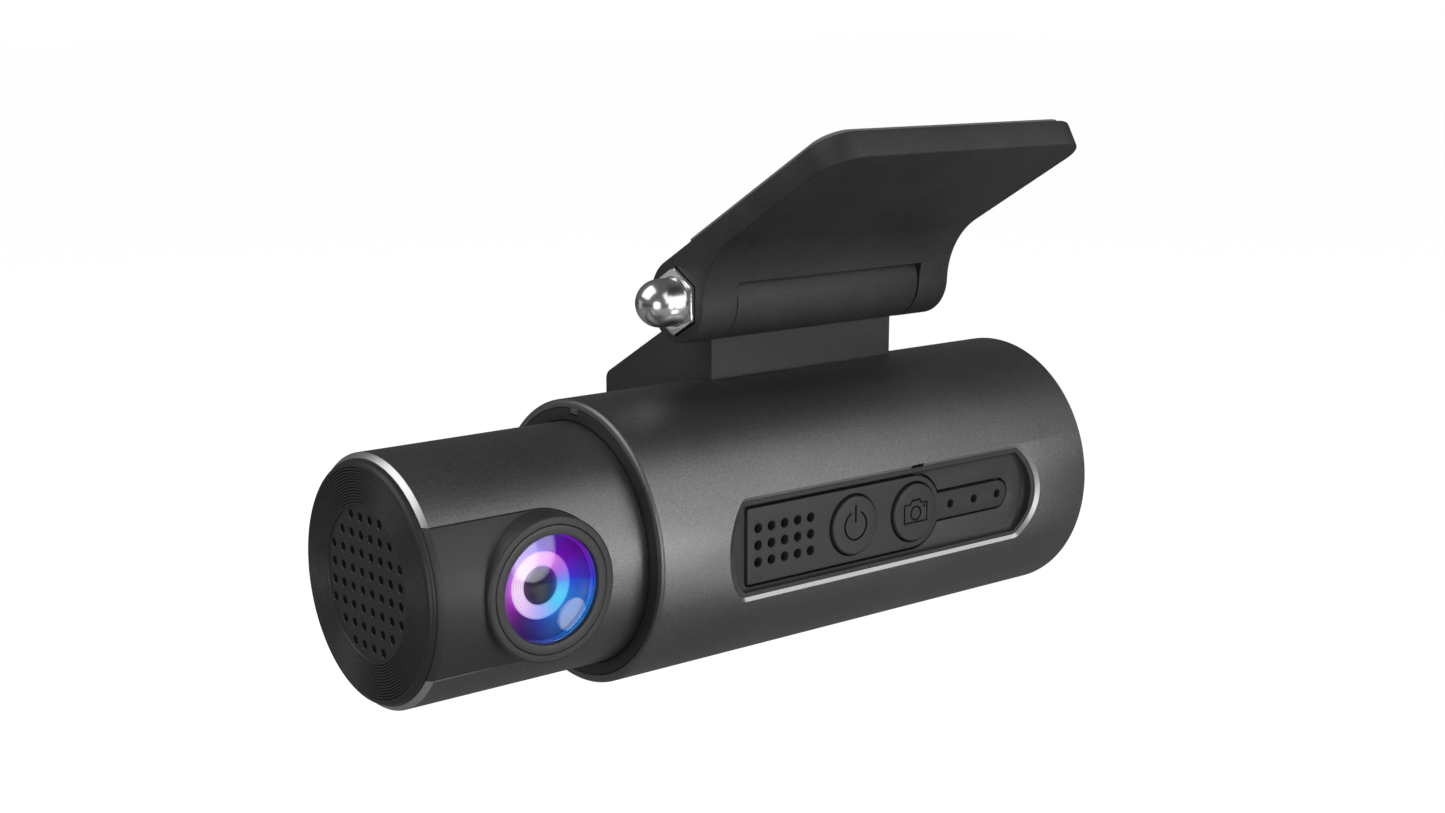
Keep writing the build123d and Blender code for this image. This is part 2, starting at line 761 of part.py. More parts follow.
with BuildPart() as card_socket:
    with BuildSketch(across_camera(socket_end_x - socket_length)):
        with Locations((-board_back + 0.95, card_z)):
            Rectangle(1.9, 14.2)
    extrude(amount=socket_length)
    with BuildSketch(card_plane(card_end_x - card_length - slip_fit)):
        Rectangle(card_thickness + 2 * slip_fit, card_width + 2 * slip_fit)
    extrude(amount=card_length, mode=Mode.SUBTRACT)

with BuildPart() as memory_card:
    with BuildSketch(card_plane(card_end_x - card_length)):
        Rectangle(card_thickness, card_width)
    extrude(amount=card_length)
    # finger ridge near the outer end
    with BuildSketch(card_plane(card_end_x - 1.6)):
        with Locations((card_thickness / 2 - 0.1, 0)):
            Rectangle(0.2, card_width - 2)
    extrude(amount=0.7, mode=Mode.SUBTRACT)

# power inlet: a flat oval shell with a tongue
inlet_width = 8.94
inlet_height = 3.26
inlet_wall = 0.31
inlet_length = 7.4
inlet_z = card_z - 7.1 - 0.3 - inlet_width / 2
inlet_end_x = rear_x - 0.6


def inlet_plane(x):
    return Plane(
        origin=(x, axis_y - board_back + inlet_height / 2, axis_z + inlet_z),
        x_dir=(0, 0, 1),
        z_dir=(1, 0, 0),
    )


with BuildPart() as power_inlet:
    with BuildSketch(inlet_plane(inlet_end_x - inlet_length)):
        SlotOverall(inlet_width, inlet_height)
    extrude(amount=inlet_length)
    with BuildSketch(inlet_plane(inlet_end_x - inlet_length + 1.0)):
        SlotOverall(inlet_width - 2 * inlet_wall, inlet_height - 2 * inlet_wall)
    extrude(amount=inlet_length - 1.0, mode=Mode.SUBTRACT)
    with BuildSketch(inlet_plane(inlet_end_x - inlet_length + 0.5)):
        Rectangle(6.7, 0.7)
    extrude(amount=inlet_length - 1.2)

reset_depth = board_front + 1.2
with BuildPart() as reset_switch:
    with BuildSketch(facing_keys(board_front, board_end_x - 1.8)):
        Rectangle(3.2, 3.0)
    extrude(amount=2.4)
    with BuildSketch(across_camera(board_end_x - 0.2)):
        with Locations((-reset_depth, 0)):
            Circle(0.45)
    extrude(amount=0.35)

# ================= end cap =================
end_cap_radius = tube_inner - bond_gap
cap_screw_radius_out = chassis_radius - rail_wall / 2
with BuildPart() as end_cap:
    with BuildSketch(across_camera(end_cap_x)):
        Circle(end_cap_radius)
    extrude(amount=cap_thickness)
    fillet(end_cap.edges().filter_by(GeomType.CIRCLE).sort_by(Axis.X)[-1], 0.4)
    # shallow dish in the face
    with BuildSketch(across_camera(rear_x - 0.5)):
        Circle(tube_radius * 0.72)
    extrude(amount=0.5, mode=Mode.SUBTRACT)
    with BuildSketch(inlet_plane(end_cap_x)):
        SlotOverall(inlet_width + 2 * slip_fit, inlet_height + 2 * slip_fit)
    extrude(amount=cap_thickness, mode=Mode.SUBTRACT)
    with BuildSketch(inlet_plane(rear_x - 1.1)):
        SlotOverall(inlet_width + 3.6, inlet_height + 2.6)
    extrude(amount=1.1, mode=Mode.SUBTRACT)
    with BuildSketch(card_plane(end_cap_x)):
        Rectangle(card_thickness + 4 * slip_fit, card_width + 4 * slip_fit)
    extrude(amount=cap_thickness, mode=Mode.SUBTRACT)
    # finger notch beside the card
    with BuildSketch(card_plane(rear_x - 1.3)):
        SlotOverall(7.0, 3.0, rotation=90)
    extrude(amount=1.3, mode=Mode.SUBTRACT)
    with BuildSketch(across_camera(end_cap_x)):
        with Locations((-reset_depth, 0)):
            Circle(0.6)
        with Locations((0, cap_screw_radius_out), (0, -cap_screw_radius_out)):
            Circle(board_screw_radius + slip_fit)
    extrude(amount=cap_thickness, mode=Mode.SUBTRACT)
    with BuildSketch(across_camera(rear_x - 1.2)):
        with Locations((0, cap_screw_radius_out), (0, -cap_screw_radius_out)):
            Circle(1.55)
    extrude(amount=1.2, mode=Mode.SUBTRACT)

with BuildPart() as cap_screws:
    for side in (1, -1):
        place = Plane(
            origin=(end_cap_x - 5, axis_y, axis_z + side * cap_screw_radius_out),
            x_dir=(0, 1, 0),
            z_dir=(1, 0, 0),
        )
        with BuildSketch(place):
            Circle(board_screw_radius)
        extrude(amount=5 + cap_thickness - 1.2)
        with BuildSketch(place.offset(5 + cap_thickness - 1.2)):
            Circle(1.45)
        extrude(amount=1.0)
        with BuildSketch(place.offset(5 + cap_thickness - 0.7)):
            Rectangle(1.9, 0.35)
            Rectangle(0.35, 1.9)
        extrude(amount=0.5, mode=Mode.SUBTRACT)

antenna_x = end_cap_x - 0.3
with BuildPart() as antenna:
    with BuildSketch(across_camera(antenna_x)):
        with Locations((6.5, 0)):
            Rectangle(7, 16)
    extrude(amount=0.3)

# ================= lens turret =================
shell_end_x = hub_start_x
slot_front = 1.0


def slot_outline(shrink):
    # the slot in the turret's shell: open at the cap end and round about the lens
    half = slot_half_height - shrink
    front = lens_x - shell_front_x
    with BuildSketch(mode=Mode.PRIVATE) as outline:
        with Locations((-(front + slot_front) / 2, 0)):
            Rectangle(front + slot_front, 2 * half)
        Circle(half)
    return outline.sketch


with BuildPart() as turret_shell:
    with BuildSketch(across_camera(shell_front_x)):
        Circle(turret_radius)
        Circle(shell_inner, mode=Mode.SUBTRACT)
    extrude(amount=shell_end_x - shell_front_x)
    shell_rim = turret_shell.edges().filter_by(GeomType.CIRCLE).group_by(Axis.X)[0]
    chamfer(shell_rim.sort_by(SortBy.RADIUS)[-1], shell_chamfer)
    with BuildSketch(facing_lens(0)):
        add(slot_outline(0))
    extrude(amount=turret_radius + 1, mode=Mode.SUBTRACT)

fascia_wall = 1.5
lip_wall = 1.1
lip_overlap = 1.7
ring_seat = 2.8
glass_seat = 1.6
boss_bore = ring_radius + 0.06
with BuildPart() as lens_fascia:
    # skin flush with the shell, filling its slot
    with BuildSketch(across_camera(shell_front_x)):
        Circle(turret_radius)
        Circle(turret_radius - fascia_wall, mode=Mode.SUBTRACT)
    extrude(amount=lens_x + slot_half_height - shell_front_x)
    fascia_rim = lens_fascia.edges().filter_by(GeomType.CIRCLE).group_by(Axis.X)[0]
    chamfer(fascia_rim.sort_by(SortBy.RADIUS)[-1], shell_chamfer)
    with BuildSketch(facing_lens(0)):
        add(slot_outline(bond_gap))
    extrude(amount=turret_radius + 1, mode=Mode.INTERSECT)
    # lip inside the shell
    with BuildPart(mode=Mode.PRIVATE) as lip:
        with BuildSketch(across_camera(shell_front_x + 2)):
            Circle(shell_inner - bond_gap)
            Circle(shell_inner - bond_gap - lip_wall, mode=Mode.SUBTRACT)
        extrude(amount=lens_x + slot_half_height + lip_overlap - shell_front_x - 2)
        with BuildSketch(facing_lens(0)):
            Circle(slot_half_height + lip_overlap)
            with Locations((-lens_x + shell_front_x, 0)):
                Rectangle(
                    2 * (lens_x - shell_front_x), 2 * (slot_half_height + lip_overlap), align=Align.CENTER
                )
        extrude(amount=turret_radius, mode=Mode.INTERSECT)
    add(lip.part)
    # round boss for the lens
    with BuildSketch(facing_lens(shell_inner - lip_wall - 1.5)):
        Circle(boss_radius)
    extrude(amount=boss_face - shell_inner + lip_wall + 1.5)
    fillet(lens_fascia.edges().filter_by(GeomType.CIRCLE).sort_by(Axis.Y)[0], 0.35)
    with BuildSketch(facing_lens(boss_face - ring_seat)):
        Circle(boss_bore)
    extrude(amount=ring_seat, mode=Mode.SUBTRACT)
    with BuildSketch(facing_lens(0)):
        Circle(boss_bore - 0.4)
    extrude(amount=boss_face, mode=Mode.SUBTRACT)

with BuildPart() as lens_ring:
    with BuildSketch(facing_lens(boss_face - ring_seat)):
        Circle(ring_radius)
        Circle(glass_radius, mode=Mode.SUBTRACT)
    extrude(amount=ring_seat)
    # inner ledge for the glass
    with BuildSketch(facing_lens(boss_face - ring_seat)):
        Circle(glass_radius + 0.2)
        Circle(glass_radius - 0.7, mode=Mode.SUBTRACT)
    extrude(amount=ring_seat - glass_seat)

glass_edge = 1.1
glass_rise = 0.35
glass_start = boss_face - glass_seat
glass_rim = glass_radius - bond_gap
dome_radius = (glass_rim**2 + glass_rise**2) / (2 * glass_rise)
with BuildPart() as front_glass:
    with BuildSketch(facing_lens(glass_start)):
        Circle(glass_rim)
    extrude(amount=glass_edge + glass_rise)
    with Locations(Location((lens_x, axis_y - glass_start - glass_edge - glass_rise + dome_radius, axis_z))):
        Sphere(dome_radius, mode=Mode.INTERSECT)

barrel_front = boss_face - ring_seat
barrel_head_radius = boss_bore - 0.5
barrel_radius = 6.0
barrel_back = -2.3
holder_face = barrel_front - 2.9
flange_face = -3.4
flange_back = -5.0
with BuildPart() as lens_barrel:
    with BuildSketch(facing_lens(holder_face)):
        Circle(barrel_head_radius)
    extrude(amount=barrel_front - holder_face)
    with BuildSketch(facing_lens(barrel_back)):
        Circle(barrel_radius)
    extrude(amount=holder_face - barrel_back)
    # stepped bore: wide in front of the inner element and narrow behind it
    for depth, radius in ((barrel_front - 1.2, 6.3), (barrel_front - 3.6, 4.3), (barrel_back, 3.4)):
        with BuildSketch(facing_lens(depth)):
            Circle(radius)
        extrude(amount=barrel_front - depth, mode=Mode.SUBTRACT)

with BuildPart() as inner_lens:
    with BuildSketch(facing_lens(barrel_front - 3.6)):
        Circle(4.25)
    extrude(amount=1.6)
    fillet(inner_lens.edges().filter_by(GeomType.CIRCLE).sort_by(Axis.Y)[0], 0.8)

with BuildPart() as rear_lens:
    with BuildSketch(facing_lens(barrel_back)):
        Circle(3.35)
    extrude(amount=3.2)

with BuildPart() as infrared_filter:
    with BuildSketch(facing_lens(barrel_back - 0.3)):
        Circle(4.5)
    extrude(amount=0.3)

flange_half_x = 10.0
arm_inner = 10.3
arm_outer = shell_inner - 2.8
with BuildPart() as lens_holder:
    with BuildSketch(facing_lens(flange_back)):
        Rectangle(2 * flange_half_x, 2 * arm_outer)
    extrude(amount=flange_face - flange_back)
    with BuildSketch(facing_lens(flange_face)):
        Circle(barrel_radius + 1.9)
    extrude(amount=holder_face - flange_face)
    with BuildSketch(facing_lens(barrel_back - 0.4)):
        Circle(barrel_radius + pin_fit)
    extrude(amount=holder_face - barrel_back + 0.4, mode=Mode.SUBTRACT)
    with BuildSketch(facing_lens(flange_back)):
        Rectangle(8.8, 8.8)
    extrude(amount=barrel_back - flange_back, mode=Mode.SUBTRACT)
    with BuildSketch(facing_lens(flange_back)):
        with GridLocations(2 * (flange_half_x - 2.2), 2 * (arm_inner + 0.95), 2, 2):
            Circle(board_screw_radius)
    extrude(amount=flange_face - flange_back, mode=Mode.SUBTRACT)

with BuildPart() as holder_screws:
    for x in (lens_x - flange_half_x + 2.2, lens_x + flange_half_x - 2.2):
        for side in (-1, 1):
            with BuildSketch(facing_keys(flange_back - 2.4, x)):
                with Locations((0, side * (arm_inner + 0.95))):
                    Circle(board_screw_radius)
            extrude(amount=flange_face - flange_back + 2.4)
            with BuildSketch(facing_keys(flange_face, x)):
                with Locations((0, side * (arm_inner + 0.95))):
                    Circle(1.3)
            extrude(amount=0.8)

sensor_board_half = arm_inner - 0.5
with BuildPart() as sensor_board:
    with BuildSketch(facing_lens(flange_back - 1.0)):
        Rectangle(2 * flange_half_x - 1, 2 * sensor_board_half)
    extrude(amount=1.0)

with BuildPart() as image_sensor:
    with BuildSketch(facing_lens(flange_back)):
        Rectangle(8.0, 8.0)
    extrude(amount=0.9)

hub_radius = tube_inner - 0.5
hub_bore = 5.0
spigot_length = 4.0
arm_depth = -(flange_back - 3.0)
with BuildPart() as swivel_hub:
    with BuildSketch(across_camera(hub_start_x)):
        Circle(hub_radius)
        Circle(hub_bore, mode=Mode.SUBTRACT)
    extrude(amount=hub_flange)
    with BuildSketch(across_camera(hub_start_x - spigot_length)):
        Circle(shell_inner - bond_gap)
        Circle(shell_inner - 2.6, mode=Mode.SUBTRACT)
    extrude(amount=spigot_length)
    # arms that carry the lens holder
    for side in (-1, 1):
        with BuildSketch(across_camera(lens_x - flange_half_x - 1)):
            with Locations(((arm_depth - flange_back) / 2, side * (arm_inner + arm_outer) / 2)):
                Rectangle(arm_depth + flange_back, arm_outer - arm_inner)
        extrude(amount=hub_start_x - lens_x + flange_half_x + 1)
    for x in (lens_x - flange_half_x + 2.2, lens_x + flange_half_x - 2.2):
        for side in (-1, 1):
            with BuildSketch(facing_keys(flange_back, x)):
                with Locations((0, side * (arm_inner + 0.95))):
                    Circle(board_screw_radius)
            extrude(amount=-2.5, mode=Mode.SUBTRACT)
    # stop lug behind the flange, on the lens side at rest
    with BuildSketch(across_camera(hub_start_x + hub_flange)):
        Circle(stop_outer - 0.2)
        Circle(stop_inner + 0.2, mode=Mode.SUBTRACT)
        Polygon(*sector(stop_outer, 180 - lug_arc / 2, 180 + lug_arc / 2), align=None, mode=Mode.INTERSECT)
    extrude(amount=slip_fit + bearing_thickness + bulkhead_thickness - 0.2)

cap_edge_round = 0.8
cap_radius = turret_radius - 0.77
cap_plate = 1.4
spigot_outer = shell_inner - lip_wall - 0.3
spigot_inner = spigot_outer - 1.2
grille_half = grille_pitch / 2
grille_points = [
    (column * grille_pitch + grille_half, row * grille_pitch + grille_half)
    for column in range(-4, 4)
    for row in range(-4, 4)
    if math.hypot(column + 0.5, row + 0.5) < 4.0
]
with BuildPart() as grille_cap:
    with BuildSketch(across_camera(cap_face_x)):
        Circle(cap_radius)
    extrude(amount=cap_height)
    fillet(grille_cap.edges().filter_by(GeomType.CIRCLE).sort_by(Axis.X)[0], cap_edge_round)
    with BuildSketch(across_camera(shell_front_x)):
        Circle(spigot_outer)
    extrude(amount=cap_plate - cap_height)
    with BuildSketch(across_camera(cap_face_x + cap_plate)):
        Circle(spigot_outer)
        Circle(spigot_inner, mode=Mode.SUBTRACT)
    extrude(amount=2.4)
    with BuildSketch(across_camera(cap_face_x)):
        Circle(grille_radius)
    extrude(amount=grille_depth, mode=Mode.SUBTRACT)
    with BuildSketch(across_camera(cap_face_x)):
        for step in range(groove_count):
            Circle(groove_first + step * groove_pitch + 0.06)
            Circle(groove_first + step * groove_pitch - 0.06, mode=Mode.SUBTRACT)
    extrude(amount=groove_depth, mode=Mode.SUBTRACT)
    with BuildSketch(across_camera(cap_face_x)):
        with Locations(*grille_points):
            Circle(grille_hole_radius)
    extrude(amount=cap_plate, mode=Mode.SUBTRACT)

grille_back_x = cap_face_x + cap_plate
gasket_thickness = 0.5
with BuildPart() as grille_mesh:
    with BuildSketch(across_camera(grille_back_x)):
        Circle(grille_radius + 0.15)
    extrude(amount=0.2)

with BuildPart() as speaker_gasket:
    with BuildSketch(across_camera(grille_back_x)):
        Circle(spigot_inner - 0.1)
        Circle(grille_radius + 0.25, mode=Mode.SUBTRACT)
    extrude(amount=gasket_thickness)

speaker_frame = 1.5
speaker_x = grille_back_x + gasket_thickness
with BuildPart() as speaker:
    with BuildSketch(across_camera(speaker_x)):
        Circle(spigot_inner - 0.1)
        Circle(grille_radius, mode=Mode.SUBTRACT)
    extrude(amount=speaker_frame)
    with BuildSketch(across_camera(speaker_x + 0.6)):
        Circle(grille_radius + 0.2)
    extrude(amount=0.5)
    with BuildSketch(across_camera(speaker_x + 1.1)):
        Circle(7.0)
    extrude(amount=speaker_frame + 1.3)

# ribbon from the board through the hub's bore
ribbon_width = 6.0
ribbon_thickness = 0.3
connector_x = board_start_x + 3.5
with BuildPart() as ribbon_connector:
    with BuildSketch(facing_keys(board_back, connector_x)):
        Rectangle(3.0, 8.0)
    extrude(amount=-1.3)

# the ribbon is in two halves that meet in the hub's bore, one on each side of the turning joint
ribbon_corner = connector_x + ribbon_thickness / 2
ribbon_meeting_x = hub_start_x - 3.0
with BuildPart() as board_ribbon:
    with BuildSketch(Plane(origin=(0, axis_y, axis_z - ribbon_width / 2))):
        with Locations((ribbon_corner, 0)):
            Rectangle(ribbon_thickness, board_back - 1.3, align=(Align.MAX, Align.MAX))
            Rectangle(ribbon_corner - ribbon_meeting_x, ribbon_thickness, align=(Align.MAX, Align.MIN))
    extrude(amount=ribbon_width)

sensor_ribbon_y = -flange_back + 1.0
sensor_edge_x = lens_x + flange_half_x - 0.5
sensor_ribbon_x = sensor_edge_x + 2.5
with BuildPart() as sensor_ribbon:
    with BuildSketch(Plane(origin=(0, axis_y, axis_z - ribbon_width / 2))):
        with Locations((sensor_edge_x - 2.0, sensor_ribbon_y)):
            Rectangle(
                sensor_ribbon_x - sensor_edge_x + 2.0, ribbon_thickness, align=(Align.MIN, Align.MIN)
            )
        with Locations((sensor_ribbon_x, 0)):
            Rectangle(ribbon_thickness, sensor_ribbon_y + ribbon_thickness, align=(Align.MAX, Align.MIN))
            Rectangle(
                ribbon_meeting_x - running_gap - sensor_ribbon_x,
                ribbon_thickness,
                align=(Align.MIN, Align.MIN),
            )
    extrude(amount=ribbon_width)

pieces = {
    "bracket_plate": bracket_plate,
    "adhesive_pad": adhesive_pad,
    "hinge_bolt": hinge_bolt,
    "acorn_nut": acorn_nut,
    "hinge_foot": hinge_foot,
    "hinge_sleeve": hinge_sleeve,
    "friction_washers": friction_washers,
    "foot_screws": foot_screws,
    "body_tube": body_tube,
    "collar_ring": collar_ring,
    "chassis": chassis,
    "bearing_ring": bearing_ring,
    "side_panel": side_panel,
    "key_plate": key_plate,
    "mic_mesh": mic_mesh,
    "light_guide": light_guide,
    "power_button": power_button,
    "camera_button": camera_button,
    "main_board": main_board,
    "board_screws": board_screws,
    "tact_switches": tact_switches,
    "status_lights": status_lights,
    "microphone": microphone,
    "processor_shield": processor_shield,
    "processor": processor,
    "heat_spreader": heat_spreader,
    "memory_chips": memory_chips,
    "capacitors": capacitors,
    "card_socket": card_socket,
    "memory_card": memory_card,
    "power_inlet": power_inlet,
    "reset_switch": reset_switch,
    "end_cap": end_cap,
    "cap_screws": cap_screws,
    "antenna": antenna,
    "turret_shell": turret_shell,
    "lens_fascia": lens_fascia,
    "lens_ring": lens_ring,
    "front_glass": front_glass,
    "lens_barrel": lens_barrel,
    "inner_lens": inner_lens,
    "rear_lens": rear_lens,
    "infrared_filter": infrared_filter,
    "lens_holder": lens_holder,
    "holder_screws": holder_screws,
    "sensor_board": sensor_board,
    "image_sensor": image_sensor,
    "swivel_hub": swivel_hub,
    "grille_cap": grille_cap,
    "grille_mesh": grille_mesh,
    "speaker_gasket": speaker_gasket,
    "speaker": speaker,
    "ribbon_connector": ribbon_connector,
    "board_ribbon": board_ribbon,
    "sensor_ribbon": sensor_ribbon,
}
for name, piece in pieces.items():
    piece.part.label = name
    export_step(piece.part, f"parts/{name}.step")
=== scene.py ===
import json
from math import asin, atan2, cos, degrees, pi, radians, sin, sqrt, tan

import bmesh
import bpy
from mathutils import Matrix, Vector


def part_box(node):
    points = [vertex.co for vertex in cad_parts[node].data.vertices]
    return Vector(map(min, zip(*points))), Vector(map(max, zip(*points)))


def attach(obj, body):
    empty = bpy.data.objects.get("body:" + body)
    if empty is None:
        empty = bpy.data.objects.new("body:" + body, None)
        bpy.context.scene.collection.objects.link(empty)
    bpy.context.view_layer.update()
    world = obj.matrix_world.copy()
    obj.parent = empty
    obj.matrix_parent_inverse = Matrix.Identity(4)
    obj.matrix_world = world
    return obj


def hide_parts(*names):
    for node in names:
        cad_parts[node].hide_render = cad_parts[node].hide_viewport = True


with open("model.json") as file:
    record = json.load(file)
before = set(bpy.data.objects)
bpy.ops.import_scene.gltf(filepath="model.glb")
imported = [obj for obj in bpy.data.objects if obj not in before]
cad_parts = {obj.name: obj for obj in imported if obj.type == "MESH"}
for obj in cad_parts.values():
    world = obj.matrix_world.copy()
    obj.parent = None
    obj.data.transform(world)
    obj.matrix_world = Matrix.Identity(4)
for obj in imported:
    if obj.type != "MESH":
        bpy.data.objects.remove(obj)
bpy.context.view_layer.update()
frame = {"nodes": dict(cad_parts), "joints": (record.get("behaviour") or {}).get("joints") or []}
scene = bpy.context.scene
scene.view_settings.view_transform = "Standard"

# places taken from the frame
mm = 0.001
tubeLow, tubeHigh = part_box("body_tube")
axisPoint = Vector((0, (tubeLow.y + tubeHigh.y) / 2, (tubeLow.z + tubeHigh.z) / 2))
joints = {joint["name"]: joint for joint in frame["joints"]}
hingePoint = Vector(joints["bracket_tilt"]["pos_m"])
hingePoint.x = 0
frontX = tubeLow.x / mm  # tube's open end, in millimetres along the camera
rearX = tubeHigh.x / mm
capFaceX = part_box("grille_cap")[0].x / mm
lensX = (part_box("lens_ring")[0].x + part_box("lens_ring")[1].x) / 2 / mm
slope = radians(30)  # the bracket plate's slope from level


def localFrame(first, second, third, origin):
    # millimetres in a piece's own directions to metres in the row's
    turn = Matrix((first, second, third)).transposed().to_4x4()
    return Matrix.Translation(origin) @ turn @ Matrix.Scale(mm, 4)


alongTube = localFrame((0, 1, 0), (0, 0, 1), (1, 0, 0), axisPoint)  # Z runs along the camera
alongHinge = localFrame((0, 1, 0), (0, 0, 1), (1, 0, 0), hingePoint)
towardsKeys = localFrame((1, 0, 0), (0, 0, 1), (0, -1, 0), axisPoint)  # Z points out of the keys
towardsLens = localFrame((1, 0, 0), (0, 0, 1), (0, -1, 0), axisPoint + Vector((lensX * mm, 0, 0)))
plateSide = localFrame((0, -cos(slope), sin(slope)), (0, sin(slope), cos(slope)), (-1, 0, 0), hingePoint)
platePad = localFrame((1, 0, 0), (0, cos(slope), -sin(slope)), (0, sin(slope), cos(slope)), hingePoint)


# shaping tools
def penOutline(bm, start, moves):
    # draws lines and arcs on the flat, then fills them
    first = last = bm.verts.new((*start, 0))
    for move in moves:
        if len(move) == 2:
            new = bm.verts.new((*move, 0))
            bm.edges.new((last, new))
            last = new
        else:
            centre, turn, steps = move
            arc = bmesh.ops.spin(
                bm,
                geom=[last],
                cent=(*centre, 0),
                axis=(0, 0, 1),
                dvec=(0, 0, 0),
                angle=radians(turn),
                steps=steps,
                use_duplicate=False,
            )
            last = next(part for part in arc["geom_last"] if isinstance(part, bmesh.types.BMVert))
    if (last.co - first.co).length > 1e-4:
        bm.edges.new((last, first))
    bmesh.ops.remove_doubles(bm, verts=bm.verts, dist=1e-4)
    bmesh.ops.contextual_create(bm, geom=bm.edges[:])
    return bm


def bevel(bm, geom, offset, segments, affect="EDGES", **more):
    bmesh.ops.bevel(
        bm,
        geom=geom,
        offset=offset,
        offset_type="OFFSET",
        segments=segments,
        profile=0.5,
        affect=affect,
        material=-1,
        **more,
    )


def roundVert(bm, vert, radius, segments):
    one, two = [edge.other_vert(vert).co - vert.co for edge in vert.link_edges]
    bevel(bm, [vert], radius / tan(one.angle(two) / 2), segments, "VERTICES")


def roundCorners(bm, test, radius, segments=8):
    # rounds the flat outline's corners that pass the test
    for vert in [vert for vert in bm.verts if test(vert.co)]:
        roundVert(bm, vert, radius, segments)
    return bm


def raiseFace(bm, low, high):
    # makes a solid of the flat outline, from one height to another
    bmesh.ops.translate(bm, verts=bm.verts, vec=(0, 0, low))
    raised = bmesh.ops.extrude_face_region(bm, geom=bm.faces[:])
    tops = [part for part in raised["geom"] if isinstance(part, bmesh.types.BMVert)]
    bmesh.ops.translate(bm, verts=tops, vec=(0, 0, high - low))
    bmesh.ops.recalc_face_normals(bm, faces=bm.faces)
    return bm


def softenEdges(bm, width, segments=3, angle=30, test=None):
    edges = [
        edge
        for edge in bm.edges
        if len(edge.link_faces) == 2
        and edge.calc_face_angle(0) > radians(angle)
        and (test is None or test((edge.verts[0].co + edge.verts[1].co) / 2))
    ]
    bevel(bm, edges, width, segments, clamp_overlap=True)
    return bm


def turnedShape(profile, rounds=(), steps=128, centre=(0, 0)):
    # turns a closed outline of (radius, height) points about Z; rounds is (corner, radius, segments)
    solid = bmesh.new()
    corners = [solid.verts.new((radius, 0, height)) for radius, height in profile]
    solid.faces.new(corners)
    for corner, radius, segments in rounds:
        roundVert(solid, corners[corner], radius, segments)
    face = solid.faces[:][-1]
    line = [edge for edge in face.edges if max(vert.co.x for vert in edge.verts) > 1e-6]
    bmesh.ops.delete(solid, geom=[face], context="FACES_ONLY")
    axisEdges = [edge for edge in solid.edges if not edge.link_faces and edge not in line]
    verts = list({vert for edge in line for vert in edge.verts})
    bmesh.ops.spin(
        solid,
        geom=line + verts,
        cent=(0, 0, 0),
        axis=(0, 0, 1),
        dvec=(0, 0, 0),
        angle=2 * pi,
        steps=steps,
        use_merge=True,
        use_duplicate=False,
    )
    if axisEdges:
        bmesh.ops.delete(solid, geom=axisEdges, context="EDGES")
    bmesh.ops.remove_doubles(solid, verts=solid.verts, dist=1e-4)
    if centre != (0, 0):
        bmesh.ops.translate(solid, verts=solid.verts, vec=(*centre, 0))
    bmesh.ops.recalc_face_normals(solid, faces=solid.faces)
    return solid


def rod(radius, low, high, steps=128, centre=(0, 0)):
    return turnedShape([(0, low), (radius, low), (radius, high), (0, high)], (), steps, centre)


def hexBlock(halfFlats, low, high):
    bm = bmesh.new()
    bmesh.ops.create_circle(bm, cap_ends=True, segments=6, radius=halfFlats / cos(pi / 6))
    return raiseFace(bm, low, high)


def joinShapes(shapes):
    # several shapes in one mesh, for cutting with
    joined = bmesh.new()
    for shape in shapes:
        mesh = bpy.data.meshes.new("part")
        shape.to_mesh(mesh)
        shape.free()
        joined.from_mesh(mesh)
        bpy.data.meshes.remove(mesh)
    return joined


def workObject(bm):
    mesh = bpy.data.meshes.new("work")
    bm.to_mesh(mesh)
    bm.free()
    obj = bpy.data.objects.new("work", mesh)
    scene.collection.objects.link(obj)
    return obj


def carve(bm, tool, operation="DIFFERENCE"):
    # cuts, joins or crosses two shapes, and frees both
    target = workObject(bm)
    cutter = workObject(tool)
    modifier = target.modifiers.new("carve", "BOOLEAN")
    modifier.solver = "EXACT"
    modifier.operation = operation
    modifier.object = cutter
    depsgraph = bpy.context.evaluated_depsgraph_get()
    mesh = bpy.data.meshes.new_from_object(target.evaluated_get(depsgraph))
    result = bmesh.new()
    result.from_mesh(mesh)
    for obj in (target, cutter):
        old = obj.data
        bpy.data.objects.remove(obj)
        bpy.data.meshes.remove(old)
    bpy.data.meshes.remove(mesh)
    bmesh.ops.remove_doubles(result, verts=result.verts, dist=2e-4)
    bmesh.ops.dissolve_degenerate(result, edges=result.edges, dist=1e-4)
    return result


def paintFaces(bm, index, test):
    for face in bm.faces:
        if test(face.calc_center_median(), face.normal):
            face.material_index = index
    return bm


def makePiece(name, bm, place, lookNames, body, stands, sharp=28):
    # puts the shape in the row's frame, shades it and ties it to its body
    bmesh.ops.transform(bm, matrix=place, verts=bm.verts)
    for face in bm.faces:
        face.smooth = True
    for edge in bm.edges:
        edge.smooth = len(edge.link_faces) != 2 or edge.calc_face_angle(0) < radians(sharp)
    mesh = bpy.data.meshes.new(name)
    bm.to_mesh(mesh)
    bm.free()
    for look in lookNames:
        mesh.materials.append(looks[look])
    piece = bpy.data.objects.new(name, mesh)
    scene.collection.objects.link(piece)
    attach(piece, body)
    if stands:
        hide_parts(*stands)


# shared shader effects
def shaderGroup(name, inputs, outputs):
    group = bpy.data.node_groups.new(name, "ShaderNodeTree")
    for label, value in inputs.items():
        socket = group.interface.new_socket(label, in_out="INPUT", socket_type="NodeSocketFloat")
        socket.default_value = value
    for label in outputs:
        group.interface.new_socket(label, in_out="OUTPUT", socket_type="NodeSocketFloat")
    return group, group.nodes.new("NodeGroupInput").outputs, group.nodes.new("NodeGroupOutput")


